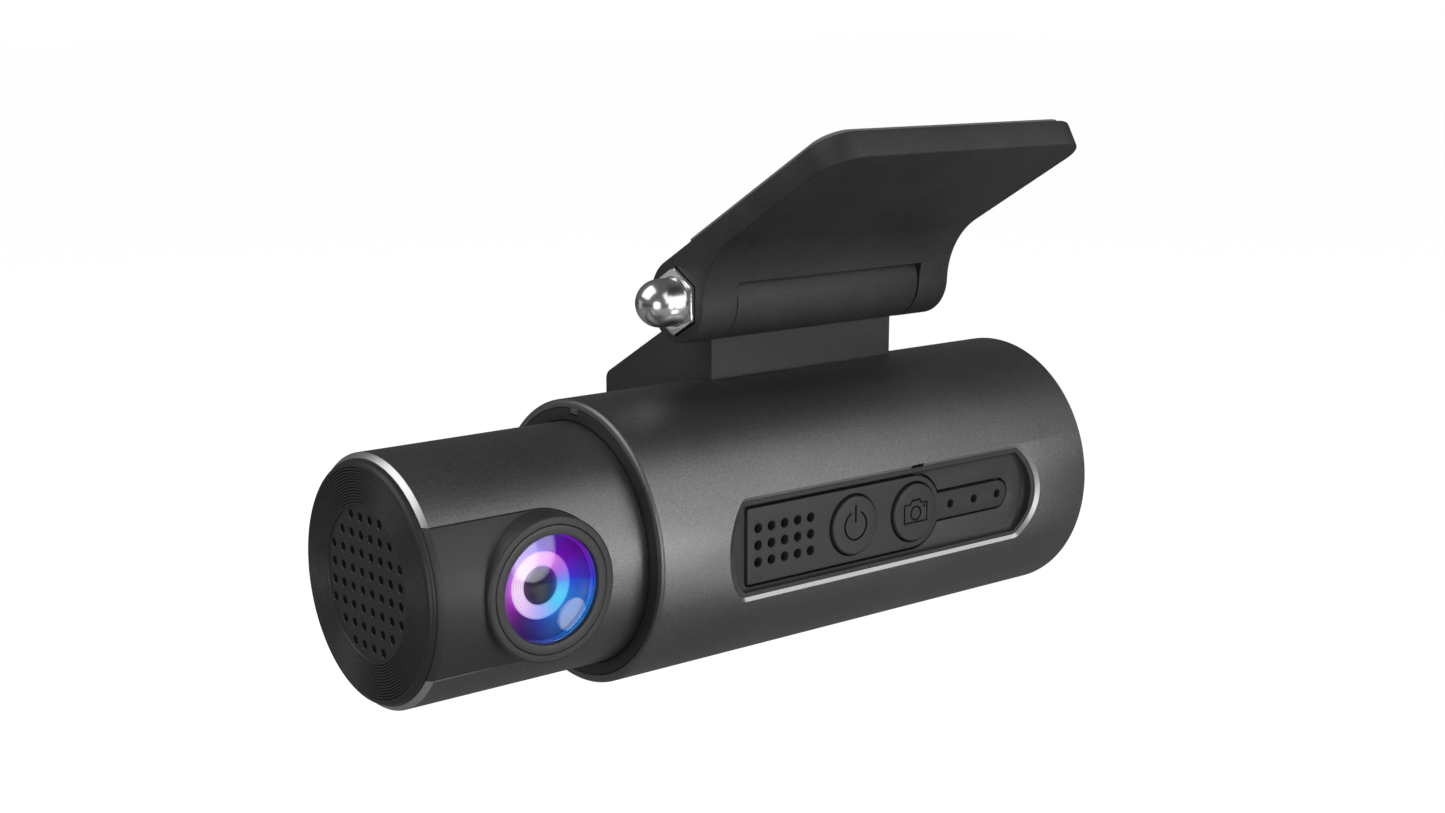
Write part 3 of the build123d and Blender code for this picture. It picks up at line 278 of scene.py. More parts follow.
def setInputs(tree, node, values):
    # another node's socket is linked, any other value is set
    for key, value in values.items():
        if isinstance(value, bpy.types.NodeSocket):
            tree.links.new(value, node.inputs[key])
        else:
            node.inputs[key].default_value = value


def addNode(tree, kind, values=None, **settings):
    node = tree.nodes.new("ShaderNode" + kind)
    for key, value in settings.items():
        setattr(node, key, value)
    setInputs(tree, node, values or {})
    return node


def maths(tree, operation, *values):
    return addNode(tree, "Math", dict(enumerate(values)), operation=operation).outputs[0]


def mapRange(tree, value, low, high, toLow=0.0, toHigh=1.0, **settings):
    values = {"Value": value, "From Min": low, "From Max": high, "To Min": toLow, "To Max": toHigh}
    return addNode(tree, "MapRange", values, **settings).outputs["Result"]


def mixColours(tree, factor, first, second, **settings):
    values = {"Factor": factor, "A": first, "B": second}
    return addNode(tree, "Mix", values, data_type="RGBA", **settings).outputs["Result"]


def objectCoords(tree):
    return addNode(tree, "TexCoord").outputs["Object"]


def noise(tree, scale, detail, roughness=0.5):
    values = {"Vector": objectCoords(tree), "Scale": scale, "Detail": detail, "Roughness": roughness}
    return addNode(tree, "TexNoise", values).outputs["Fac"]


def fineGrainGroup():
    # the tiny pits of a blasted or spark-eroded surface, with a slow cloudiness over them
    group, start, end = shaderGroup(
        "fineGrain",
        {"Grain Size": 0.15, "Cloud Size": 12.0, "Cloudiness": 0.5},
        ["Height", "Speckle", "Cloud"],
    )
    grain = noise(group, maths(group, "DIVIDE", 1 / mm, start["Grain Size"]), 3.0, 0.65)
    cloud = noise(group, maths(group, "DIVIDE", 1 / mm, start["Cloud Size"]), 2.0)
    soft = mapRange(group, cloud, 0.3, 0.7)
    setInputs(
        group,
        end,
        {
            "Height": grain,
            "Speckle": mapRange(group, grain, 0.36, 0.64),
            "Cloud": maths(group, "MULTIPLY", soft, start["Cloudiness"]),
        },
    )
    return group


def wearGroup():
    # dust and handling: broad patches that are a little paler, with fine scuffs in them
    group, start, end = shaderGroup("handlingWear", {"Patch Size": 25.0, "Amount": 0.5}, ["Wear"])
    patch = noise(group, maths(group, "DIVIDE", 1 / mm, start["Patch Size"]), 4.0, 0.6)
    scuffs = noise(group, 900.0, 5.0, 0.7)
    both = maths(
        group, "MULTIPLY", mapRange(group, patch, 0.48, 0.75), mapRange(group, scuffs, 0.5, 0.7)
    )
    setInputs(group, end, {"Wear": maths(group, "MULTIPLY", both, start["Amount"])})
    return group


grainGroup = fineGrainGroup()
handlingGroup = wearGroup()


def newMaterial(name, constants):
    material = bpy.data.materials.new(name)
    material.use_nodes = True
    tree = material.node_tree
    shader = tree.nodes["Principled BSDF"]
    setInputs(tree, shader, constants)
    return material, tree, shader


def surfaceFinish(
    name, dark, light, rough, grain, bump, cloud=12.0, cloudiness=0.5, wear=0.3, **constants
):
    # grain and clouding in colour, roughness and relief, and faint handling wear
    material, tree, shader = newMaterial(name, {"Metallic": 0.0, **constants})
    sizes = {"Grain Size": grain, "Cloud Size": cloud, "Cloudiness": cloudiness}
    texture = addNode(tree, "Group", {}, node_tree=grainGroup)
    setInputs(tree, texture, sizes)
    handling = addNode(tree, "Group", {"Amount": wear}, node_tree=handlingGroup)
    speckle, clouds = texture.outputs["Speckle"], texture.outputs["Cloud"]
    blend = maths(tree, "MULTIPLY_ADD", speckle, 0.5, clouds)
    dusty = (*[min(1, channel * 1.6 + 0.01) for channel in light], 1)
    clean = mixColours(tree, blend, (*dark, 1), (*light, 1))
    relief = {"Strength": 1.0, "Distance": bump * mm, "Height": texture.outputs["Height"]}
    setInputs(
        tree,
        shader,
        {
            "Base Color": mixColours(tree, handling.outputs["Wear"], clean, dusty),
            "Roughness": mapRange(tree, blend, 0.0, 1.0, *rough),
            "Normal": addNode(tree, "Bump", relief).outputs["Normal"],
        },
    )
    return material


finishes = {
    # name: (dark and light colour, roughness from and to, grain and bump in millimetres, the rest)
    "bodyMetal": (
        (0.16, 0.16, 0.161), (0.33, 0.33, 0.332), (0.4, 0.52), 0.22, 0.022,
        {"cloudiness": 0.12, "Metallic": 1.0, "wear": 0.08},
    ),
    "cutEdge": (
        (0.52, 0.52, 0.53), (0.64, 0.64, 0.65), (0.33, 0.42), 0.08, 0.002,
        {"Metallic": 1.0, "wear": 0.2},
    ),
    "bracketPlastic": ((0.016, 0.016, 0.0165), (0.042, 0.042, 0.0425), (0.42, 0.55), 0.26, 0.07),
    "fasciaPlastic": ((0.03, 0.03, 0.031), (0.042, 0.042, 0.043), (0.4, 0.52), 0.22, 0.02),
    "capPlastic": ((0.014, 0.014, 0.015), (0.024, 0.024, 0.025), (0.4, 0.52), 0.12, 0.01),
    "panelPlastic": ((0.028, 0.028, 0.029), (0.04, 0.04, 0.041), (0.45, 0.58), 0.12, 0.012),
    "keyPlastic": ((0.028, 0.028, 0.029), (0.04, 0.04, 0.041), (0.4, 0.5), 0.12, 0.01),
    "ringPlastic": ((0.03, 0.03, 0.031), (0.038, 0.038, 0.039), (0.36, 0.46), 0.1, 0.006),
    "collarPlastic": ((0.012, 0.012, 0.013), (0.02, 0.02, 0.021), (0.42, 0.55), 0.12, 0.01),
    # painted shade: near black for the floors of the keys' engraved icons
    "paintedShadeInside": (
        (0.006, 0.006, 0.006), (0.012, 0.012, 0.012), (0.6, 0.7), 0.2, 0.01,
        {"Specular IOR Level": 0.2},
    ),
    "nutChrome": (
        (0.78, 0.78, 0.79), (0.88, 0.88, 0.88), (0.17, 0.25), 0.3, 0.001,
        {"Metallic": 1.0, "wear": 0.15},
    ),
    "plainSteel": ((0.42, 0.42, 0.43), (0.55, 0.55, 0.56), (0.25, 0.38), 0.1, 0.004, {"Metallic": 1.0}),
    "padFoam": ((0.16, 0.16, 0.162), (0.24, 0.24, 0.243), (0.6, 0.75), 0.25, 0.05),
    "innerPlastic": ((0.03, 0.03, 0.031), (0.05, 0.05, 0.052), (0.45, 0.6), 0.2, 0.01),
    "slideRing": ((0.66, 0.66, 0.62), (0.76, 0.76, 0.72), (0.4, 0.5), 0.2, 0.004),
    "circuitBoard": ((0.008, 0.06, 0.03), (0.012, 0.1, 0.05), (0.3, 0.42), 0.5, 0.01, {"cloud": 3.0}),
    "chipBlack": ((0.018, 0.018, 0.018), (0.03, 0.03, 0.03), (0.45, 0.6), 0.12, 0.006),
    # painted shade: the light guides and status lights are near black, so the lights' small holes show dark
    "paintedShadeGuide": (
        (0.002, 0.002, 0.002), (0.005, 0.005, 0.005), (0.5, 0.6), 0.2, 0.003,
        {"Specular IOR Level": 0.15},
    ),
    "lensMetal": ((0.05, 0.05, 0.052), (0.09, 0.09, 0.093), (0.3, 0.4), 0.1, 0.003, {"Metallic": 1.0}),
    "softRubber": ((0.015, 0.015, 0.015), (0.024, 0.024, 0.024), (0.65, 0.8), 0.3, 0.02),
    "speakerSteel": ((0.3, 0.3, 0.31), (0.42, 0.42, 0.43), (0.3, 0.42), 0.15, 0.006, {"Metallic": 1.0}),
    "amberFilm": ((0.32, 0.15, 0.03), (0.42, 0.22, 0.05), (0.25, 0.35), 0.6, 0.002, {"cloud": 5.0}),
    "capacitorSleeve": ((0.02, 0.03, 0.09), (0.03, 0.045, 0.13), (0.25, 0.35), 0.3, 0.002),
}
looks = {}
for name, (dark, light, rough, grain, bump, *more) in finishes.items():
    looks[name] = surfaceFinish(name, dark, light, rough, grain, bump, **(more[0] if more else {}))

threadPitch = 0.16  # millimetres between the cloth's threads


def wovenMesh():
    # fine cloth behind the holes: crossed waves of thread
    material, tree, shader = newMaterial("wovenMesh", {"Metallic": 0.0, "Roughness": 0.8})
    parts = addNode(tree, "SeparateXYZ", {0: objectCoords(tree)}).outputs
    waves = [
        maths(tree, "SINE", maths(tree, "MULTIPLY", parts[axis], 2 * pi / (threadPitch * mm)))
        for axis in ("X", "Y", "Z")
    ]
    total = maths(tree, "ADD", maths(tree, "ADD", waves[0], waves[1]), waves[2])
    ramp = addNode(tree, "ValToRGB", {0: mapRange(tree, total, -2.0, 2.0)})
    ramp.color_ramp.elements[0].color = (0.004, 0.004, 0.004, 1)
    ramp.color_ramp.elements[1].color = (0.02, 0.02, 0.02, 1)
    setInputs(tree, shader, {"Base Color": ramp.outputs["Color"]})
    return material


def clearGlass():
    # cover glass with a faint violet tint and the least unevenness
    glass = {"Transmission Weight": 1.0, "IOR": 1.34, "Specular IOR Level": 0.4}
    material, tree, shader = newMaterial("coverGlass", {**glass, "Base Color": (0.97, 0.97, 1.0, 1)})
    smear = mapRange(tree, noise(tree, 420.0, 3.0), 0.45, 0.8, 0.0, 0.03)
    setInputs(tree, shader, {"Roughness": smear})
    return material


# painted reflection of the lens coatings: near white at the left of the middle ring, lighter at the left and
# upper left, darkest at the bottom and lower left
lensColours = {
    # (place round the circle from +X, anticlockwise, in degrees; colour)
    "outer": [
        (0, (0.02, 0.04, 1.0)),
        (35, (0.25, 0.0, 0.5)),
        (65, (0.18, 0.0, 0.6)),
        (95, (0.15, 0.08, 0.9)),
        (140, (0.4, 0.25, 1.0)),
        (175, (0.8, 0.15, 0.95)),
        (205, (0.35, 0.0, 0.5)),
        (235, (0.03, 0.0, 0.1)),
        (265, (0.005, 0.01, 0.4)),
        (300, (0.0, 0.2, 0.75)),
        (335, (0.02, 0.3, 1.0)),
    ],
    "middle": [
        (0, (0.1, 0.35, 1.0)),
        (30, (0.5, 0.12, 0.85)),
        (65, (0.8, 0.28, 0.8)),
        (100, (0.75, 0.45, 0.95)),
        (140, (0.95, 0.55, 0.95)),
        (180, (1.0, 0.8, 1.0)),
        (225, (0.9, 0.6, 1.0)),
        (265, (0.42, 0.42, 1.0)),
        (305, (0.05, 0.6, 1.0)),
        (335, (0.1, 0.75, 1.0)),
    ],
    "pupil": [
        (0, (0.02, 0.08, 0.5)),
        (40, (0.2, 0.0, 0.3)),
        (90, (0.14, 0.1, 0.6)),
        (150, (0.3, 0.14, 0.5)),
        (200, (0.12, 0.02, 0.2)),
        (260, (0.01, 0.01, 0.1)),
        (310, (0.0, 0.09, 0.16)),
    ],
    "middleRadius": 4.2,
    "pupilRadius": 2.45,
    "rimRadius": 7.0,
    "ringPitch": 0.34,
    "paint": 0.07,  # how much of the pattern is the glass's own colour
    "glow": 0.95,  # how much of it the glass gives off as light
    # painted shade: (place from the middle to the rim, brightness there)
    "depth": (
        ((0.0, 0.02), (0.12, 0.12), (0.3, 0.4), (0.36, 1.0), (0.6, 1.0))
        + ((0.66, 0.75), (0.85, 0.55), (0.92, 0.45), (0.96, 1.0), (1.0, 1.0))
    ),
}


def paintedGlowLens():
    # inner glass with a coloured pattern for its coatings, a different colour on each side: painted reflection
    # of the coatings, with painted shade and a painted glow
    material, tree, shader = newMaterial(
        "paintedGlowLens",
        {
            "Metallic": 0.0,
            "Specular IOR Level": 0.15,
            "Roughness": 0.3,
            "Emission Strength": lensColours["glow"],
        },
    )
    centring = {
        "Vector": objectCoords(tree),
        "Location": (-lensX, 0, -axisPoint.z / mm),
        "Scale": (1000, 1000, 1000),
    }
    centred = addNode(tree, "Mapping", centring, vector_type="POINT").outputs["Vector"]
    parts = addNode(tree, "SeparateXYZ", {0: centred}).outputs
    angle = maths(tree, "ARCTAN2", parts["Z"], parts["X"])
    turnPart = mapRange(tree, maths(tree, "FLOORED_MODULO", angle, 2 * pi), 0.0, 2 * pi)
    flat = addNode(tree, "CombineXYZ", {"X": parts["X"], "Z": parts["Z"]}).outputs[0]
    radius = addNode(tree, "VectorMath", {0: flat}, operation="LENGTH").outputs["Value"]

    def colourWheel(stops):
        ramp = addNode(tree, "ValToRGB", {0: turnPart})
        ramp.color_ramp.interpolation = "B_SPLINE"
        elements = ramp.color_ramp.elements
        for place, colour in stops[1:]:
            elements.new(place / 360).color = (*colour, 1)
        for end, place in ((0, 0), (len(elements) - 1, 1)):
            elements[end].position = place
            elements[end].color = (*stops[0][1], 1)
        return ramp.outputs["Color"]

    def within(limit, softness):
        low, high = limit - softness, limit + softness
        return mapRange(tree, radius, low, high, 1.0, 0.0, interpolation_type="SMOOTHSTEP")

    outer, middle, pupil = [colourWheel(lensColours[part]) for part in ("outer", "middle", "pupil")]
    pattern = mixColours(tree, within(lensColours["middleRadius"], 0.12), outer, middle)
    pattern = mixColours(tree, within(lensColours["pupilRadius"], 0.06), pattern, pupil)
    # fine turned rings, and painted shade towards the middle and the rim
    wave = maths(tree, "SINE", maths(tree, "MULTIPLY", radius, 2 * pi / lensColours["ringPitch"]))
    depth = addNode(
        tree, "FloatCurve", {"Value": maths(tree, "DIVIDE", radius, lensColours["rimRadius"])}
    )
    for place, value in lensColours["depth"]:
        depth.mapping.curves[0].points.new(place, value)
    depth.mapping.update()
    shade = maths(tree, "MULTIPLY", mapRange(tree, wave, -1.0, 1.0, 0.8, 1.0), depth.outputs[0])
    shaded = mixColours(tree, 1.0, pattern, shade, blend_type="MULTIPLY")
    paint = (*[lensColours["paint"]] * 3, 1)
    dimmed = mixColours(tree, 1.0, shaded, paint, blend_type="MULTIPLY")
    # the pattern is the base colour and also a painted glow, though the glass is no lamp
    setInputs(tree, shader, {"Base Color": dimmed, "Emission Color": shaded})
    return material


looks["wovenMesh"] = wovenMesh()
looks["coverGlass"] = clearGlass()
looks["paintedGlowLens"] = paintedGlowLens()
print("materials made")

# main tube
tube = {
    "radius": 19.0,
    "wall": 1.1,
    "rimRound": 0.6,
    "window": (57.8, 13.0),
    "windowEnd": 8.4,
    "windowCorner": 1.0,
    "windowX": 0.25,
    "windowChamfer": 0.5,
    "notch": (4.72, 7.05, 0.5),  # small latch notch in the window's upper edge
    "tab": (0.85, 1.4, 0.75),
    "brightArea": (30.0, 7.2),  # half sizes of the area where the chamfer is bright metal
    "cutterFoot": 9.0,
    "steps": 288,
}


def layLoop(bm, shape, height, wrap):
    # lays a flat outline at a height, or on a cylinder of radius wrap, as an edge loop
    for vert in shape.verts:
        vert.co.z = sqrt(wrap**2 - vert.co.y**2) if wrap else height
    bmesh.ops.delete(shape, geom=shape.faces[:], context="FACES_ONLY")
    mesh = bpy.data.meshes.new("loop")
    shape.to_mesh(mesh)
    shape.free()
    known = set(bm.edges)
    bm.from_mesh(mesh)
    bpy.data.meshes.remove(mesh)
    return [edge for edge in bm.edges if edge not in known]


def windowLoop(bm, grow, height=None, wrap=None):
    halfLength = tube["window"][0] / 2 + grow
    halfWidth = tube["window"][1] / 2 + grow
    endRadius = tube["windowEnd"] + grow
    bow = endRadius - sqrt(endRadius**2 - halfWidth**2)
    sweep = 2 * degrees(asin(halfWidth / endRadius))
    shape = bmesh.new()
    penOutline(
        shape,
        (halfLength - bow, -halfWidth),
        [
            ((halfLength - endRadius, 0), sweep, 24),
            (bow - halfLength, halfWidth),
            ((endRadius - halfLength, 0), sweep, 24),
        ],
    )
    roundCorners(shape, lambda co: abs(abs(co.y) - halfWidth) < 1e-3, tube["windowCorner"] + grow, 6)
    bmesh.ops.translate(shape, verts=shape.verts, vec=(tube["windowX"], 0, 0))
    return layLoop(bm, shape, height, wrap)


def stackedCutter(outline, levels):
    # a closed cutter; each level is how far the outline is grown, its height, or its cylinder's radius
    bm = bmesh.new()
    edges = [outline(bm, *level) for level in levels]
    for lower, upper in zip(edges, edges[1:]):
        bmesh.ops.bridge_loops(bm, edges=lower + upper)
    for ends in (edges[0], edges[-1]):
        bmesh.ops.contextual_create(bm, geom=ends)
    bmesh.ops.recalc_face_normals(bm, faces=bm.faces)
    return bm


def block(low, high):
    bm = bmesh.new()
    bmesh.ops.create_cube(bm, size=1)
    size = [b - a for a, b in zip(low, high)]
    bmesh.ops.scale(bm, vec=size, verts=bm.verts)
    bmesh.ops.translate(bm, verts=bm.verts, vec=[(a + b) / 2 for a, b in zip(low, high)])
    return bm


keyToTube = alongTube.inverted() @ towardsKeys


def moved(bm, matrix):
    bmesh.ops.transform(bm, matrix=matrix, verts=bm.verts)
    return bm


def makeTube():
    outer = tube["radius"]
    inner = outer - tube["wall"]
    profile = [(inner, frontX), (outer, frontX), (outer, rearX), (inner, rearX)]
    bm = turnedShape(profile, [(0, 0.12, 2), (1, tube["rimRound"], 8), (2, 0.12, 3)], tube["steps"])
    chamfer = tube["windowChamfer"]
    window = stackedCutter(
        windowLoop,
        [
            (0, tube["cutterFoot"], None),
            (0, None, outer - chamfer),
            (chamfer + 0.03, None, outer + 0.03),
            (chamfer + 0.03, outer + 4, None),
        ],
    )
    bm = carve(bm, moved(window, keyToTube))
    left, right, deep = tube["notch"]
    halfWidth = tube["window"][1] / 2
    notch = block((left, halfWidth - 1, outer - 4), (right, halfWidth + deep, outer + 1))
    bm = carve(bm, moved(notch, keyToTube))
    half, long, tall = tube["tab"]
    tab = block((-half, inner - tall, frontX), (half, inner + 0.1, frontX + long))
    softenEdges(tab, 0.12, 2)
    bm = carve(bm, tab, "UNION")

    def onChamfer(centre, normal):
        spot = keyToTube.inverted() @ centre
        outward = sqrt(centre.x**2 + centre.y**2)
        along, across = tube["brightArea"]
        nearWindow = abs(spot.x - tube["windowX"]) < along and abs(spot.y) < across and spot.z > 0
        return nearWindow and outer - chamfer + 0.005 < outward < outer - 0.012

    paintFaces(bm, 1, onChamfer)
    metals = ["bodyMetal", "cutEdge"]
    makePiece("mainTube", bm, alongTube, metals, "camera", ["body_tube"], 22)


makeTube()

collar = {
    "outer": 17.86, "bore": 16.2, "length": 3.4, "notchHalf": 0.95, "notchDeep": 1.5, "notchTall": 0.85
}


def makeCollar():
    profile = [
        (collar["bore"], frontX),
        (collar["outer"], frontX),
        (collar["outer"], frontX + collar["length"]),
        (collar["bore"], frontX + collar["length"]),
    ]
    bm = turnedShape(profile, [(0, 0.2, 3), (1, 0.1, 2)], 192)
    gap = block(
        (-collar["notchHalf"], collar["outer"] - collar["notchTall"], frontX - 1),
        (collar["notchHalf"], collar["outer"] + 1, frontX + collar["notchDeep"]),
    )
    bm = carve(bm, gap)
    makePiece("collarRing", bm, alongTube, ["collarPlastic"], "camera", ["collar_ring"])


makeCollar()
print("tube and collar made")

# lens turret
turret = {
    "radius": 16.12,
    "wall": 1.1,
    "frontX": capFaceX + 0.96,
    "rearX": frontX + 3.5,
    "chamfer": 0.62,
    "slotHalf": 9.42,
    "gap": 0.05,
    "fasciaWall": 1.5,
    "bossRadius": 9.3,
    "bossFace": 16.78,
    "bossRound": 0.35,
    "bossFoot": 12.4,
    "bore": 8.12,
    "boreSeat": 13.98,
    "cutterFoot": 8.0,
    "slotEdge": 0.09,
    "plugEdge": 0.12,
    "fasciaEnd": lensX + 12,
    "steps": 256,
}


def slotLoop(bm, grow, height=None, wrap=None):
    half = turret["slotHalf"] + grow
    front = turret["frontX"] - lensX - 3
    shape = bmesh.new()
    penOutline(shape, (front, -half), [(0, -half), ((0, 0), 180, 64), (front, half)])
    return layLoop(bm, shape, height, wrap)


lensToTube = alongTube.inverted() @ towardsLens


def makeTurret():
    outer = turret["radius"]
    inner = outer - turret["wall"]
    cham = turret["chamfer"]
    shell = turnedShape(
        [
            (inner, turret["frontX"]),
            (outer - cham, turret["frontX"]),
            (outer, turret["frontX"] + cham),
            (outer, turret["rearX"]),
            (inner, turret["rearX"]),
        ],
        [(1, 0.06, 2), (2, 0.08, 2)],
        turret["steps"],
    )
    foot, edge = turret["cutterFoot"], turret["slotEdge"]
    slotCut = stackedCutter(
        slotLoop,
        [(0, foot, None), (0, None, outer - 0.06), (edge, None, outer + 0.03), (edge, outer + 3, None)],
    )
    shell = carve(shell, moved(slotCut, lensToTube))

    def onChamfer(centre, normal):
        reach = sqrt(centre.x**2 + centre.y**2)
        atFront = centre.z < turret["frontX"] + cham + 0.02 and normal.z < -0.3
        return atFront and reach > outer - cham - 0.05

    paintFaces(shell, 1, onChamfer)
    metals = ["bodyMetal", "cutEdge"]
    makePiece("turretShell", shell, alongTube, metals, "lens_turret", ["turret_shell"], 22)

    skin = turnedShape(
        [
            (outer - turret["fasciaWall"], turret["frontX"]),
            (outer - cham, turret["frontX"]),
            (outer, turret["frontX"] + cham),
            (outer, turret["fasciaEnd"]),
            (outer - turret["fasciaWall"], turret["fasciaEnd"]),
        ],
        [(1, 0.06, 2), (2, 0.1, 2)],
        turret["steps"],
    )
    gap = turret["gap"]
    slim = gap + turret["plugEdge"]
    plug = stackedCutter(
        slotLoop,
        [(-gap, foot, None), (-gap, None, outer - 0.08), (-slim, None, outer + 0.04), (-slim, outer + 3, None)],
    )
    skin = carve(skin, moved(plug, lensToTube), "INTERSECT")
    wide, low, top = turret["bossRadius"], turret["bossFoot"], turret["bossFace"]
    boss = turnedShape(
        [(0, low), (wide, low), (wide - 0.12, top), (0, top)],
        [(2, turret["bossRound"], 5)],
        160,
    )
    skin = carve(skin, moved(boss, lensToTube), "UNION")
    hole, seat = turret["bore"], turret["boreSeat"]
    bore = turnedShape(
        [
            (0, 10),
            (hole - 0.4, 10),
            (hole - 0.4, seat),
            (hole, seat),
            (hole, top - 0.08),
            (hole + 0.1, top + 0.02),
            (hole + 0.1, 18),
            (0, 18),
        ],
        (),
        160,
    )
    skin = carve(skin, moved(bore, lensToTube))
    plastic = ["fasciaPlastic"]
    makePiece(
        "lensFascia", skin, alongTube, plastic, "lens_turret", ["lens_fascia"], 24
    )


makeTurret()

lensParts = {
    "ringRadius": 8.06,
    "glassRadius": 6.86,
    "face": 16.78,
    "seat": 13.98,
    "ledge": (6.3, 14.6),
    "domeSag": 0.55,
    "domeTop": 16.7,
    "glassThick": 0.75,
}


def makeLens():
    face = lensParts["face"]
    ring = turnedShape(
        [
            (lensParts["ledge"][0], lensParts["seat"]),
            (lensParts["ringRadius"], lensParts["seat"]),
            (lensParts["ringRadius"], face),
            (lensParts["glassRadius"], face),
            (lensParts["glassRadius"], lensParts["ledge"][1]),
            (lensParts["ledge"][0], lensParts["ledge"][1]),
        ],
        [(2, 0.08, 3), (3, 0.1, 3)],
        160,
    )
    makePiece(
        "lensRing", ring, towardsLens, ["ringPlastic"], "lens_turret", ["lens_ring"]
    )
    # cover glass, a shallow meniscus: points of its outer and inner curves, then turned
    edge = lensParts["glassRadius"] - 0.05
    sag = lensParts["domeSag"]
    bend = (edge**2 + sag**2) / (2 * sag)
    top = lensParts["domeTop"]
    thick = lensParts["glassThick"]
    places = [edge * step / 16 for step in range(17)]
    outerCurve = [(place, top - bend + sqrt(bend**2 - place**2)) for place in places]
    innerCurve = [(radius, height - thick) for radius, height in reversed(outerCurve)]
    glass = turnedShape(outerCurve + innerCurve, (), 128)
    makePiece("coverGlass", glass, towardsLens, ["coverGlass"], "lens_turret", ["front_glass"], 60)
    # coated inner glass: a wide bowl, a raised bright ring and a deep pupil; its colours are painted
    # reflection, shade and glow
    bowl = turnedShape(
        [
            (0, 13.2),
            (1.2, 13.22),
            (2.3, 13.5),
            (2.45, 13.9),
            (3.3, 14.15),
            (4.2, 13.95),
            (4.35, 13.7),
            (5.4, 14.1),
            (6.3, 14.8),
            (6.8, 15.3),
            (6.2, 14.3),
            (6.1, 12.8),
            (0, 12.8),
        ],
        [(2, 0.2, 4), (3, 0.2, 4), (4, 3.0, 8), (5, 0.15, 3), (7, 2.5, 8)],
        128,
    )
    makePiece(
        "innerGlass", bowl, towardsLens, ["paintedGlowLens"], "lens_turret", ["inner_lens"], 40
    )


makeLens()

grille = {
    "radius": 15.35,
    "edgeRound": 0.8,
    "height": 0.96,
    "plate": 1.4,
    "discRadius": 9.75,
    "discDeep": 0.25,
    "grooveFirst": 10.15,
    "groovePitch": 0.355,
    "grooves": 13,
    "grooveHalf": 0.09,
    "grooveDeep": 0.16,
    "holePitch": 2.32,
    "holeRadius": 0.575,
    "spigot": (13.62, 12.42, 3.8),
}


def makeGrille():
    face = capFaceX
    profile = [(0, face + grille["discDeep"]), (grille["discRadius"] - 0.08, face + grille["discDeep"])]
    profile += [(grille["discRadius"], face + 0.12), (grille["discRadius"] + 0.06, face)]
    for step in range(grille["grooves"]):
        middle = grille["grooveFirst"] + step * grille["groovePitch"]
        half = grille["grooveHalf"]
        profile += [(middle - half, face), (middle, face + grille["grooveDeep"]), (middle + half, face)]
    rim = len(profile)
    outerSpigot, innerSpigot, spigotEnd = grille["spigot"]
    profile += [
        (grille["radius"], face),
        (grille["radius"], face + grille["height"]),
        (outerSpigot, face + grille["height"]),
        (outerSpigot, face + spigotEnd),
        (innerSpigot, face + spigotEnd),
        (innerSpigot, face + grille["plate"]),
        (0, face + grille["plate"]),
    ]
    bm = turnedShape(profile, [(rim, grille["edgeRound"], 6)], 192)
    disc = face + grille["discDeep"]
    holes = []
    for column in range(-4, 4):
        for row in range(-4, 4):
            spot = (column + 0.5, row + 0.5)
            if spot[0] ** 2 + spot[1] ** 2 < 16:
                radius = grille["holeRadius"]
                profile = [
                    (0, face - 1),
                    (radius + 0.09, face - 1),
                    (radius + 0.09, disc),
                    (radius, disc + 0.09),
                    (radius, face + 2),
                    (0, face + 2),
                ]
                centre = (spot[0] * grille["holePitch"], spot[1] * grille["holePitch"])
                holes.append(turnedShape(profile, (), 20, centre=centre))
    bm = carve(bm, joinShapes(holes))
    makePiece(
        "grilleCap", bm, alongTube, ["capPlastic"], "lens_turret", ["grille_cap"], 24
    )


makeGrille()
print("turret made")

# keys in the side window
keys = {
    "fit": 0.06,
    "panelGrow": 1.5,
    "panelCurve": 17.8,
    "panelFace": 16.5,
    "panelBack": 15.36,
    "rim": 0.55,  # raised border that lines the window, with a cove at its foot
    "cove": 0.85,
    "trench": 0.36,
    "raise": 0.25,
    "left": -24.35,
    "half": 5.15,
    "tongueHalf": 1.95,
    "cameraX": 5.92,
    "powerX": -5.53,
    "ledFirst": 13.32,
    "ledPitch": 4.8,
    "ledRadius": 0.6,
    "micFirst": -22.5,
    "micPitch": 2.3,
    "micRadius": 0.65,
    "buttonRadius": 4.12,
    "buttonGap": 0.2,
    "buttonFace": 17.25,
    "buttonRound": 0.3,
    "iconDeep": 0.25,
    "iconStroke": 0.3,
}


def keyOutline(grow):
    half = keys["half"] + grow
    tongue = keys["tongueHalf"] + grow
    cameraX = keys["cameraX"]
    end = keys["ledFirst"] + 2 * keys["ledPitch"]
    meet = degrees(asin(tongue / half))
    bm = bmesh.new()
    penOutline(
        bm,
        (keys["left"] - grow, -half),
        [
            (cameraX, -half),
            ((cameraX, 0), 90 - meet, 18),
            (end, -tongue),
            ((end, 0), 180, 24),
            (cameraX + half * cos(radians(meet)), tongue),
            ((cameraX, 0), 90 - meet, 18),
            (keys["left"] - grow, half),
        ],
    )
    roundCorners(bm, lambda co: co.x < keys["left"] - grow + 1e-3, 0.25 + max(grow, 0), 4)
    return bm


def flaredHole(x, y, radius, top, bottom, flare=0.07, steps=20):
    mouth = radius + flare
    profile = [(0, bottom), (radius, bottom), (radius, top - flare), (mouth, top), (mouth, top + 1)]
    return turnedShape(profile + [(0, top + 1)], (), steps, centre=(x, y))


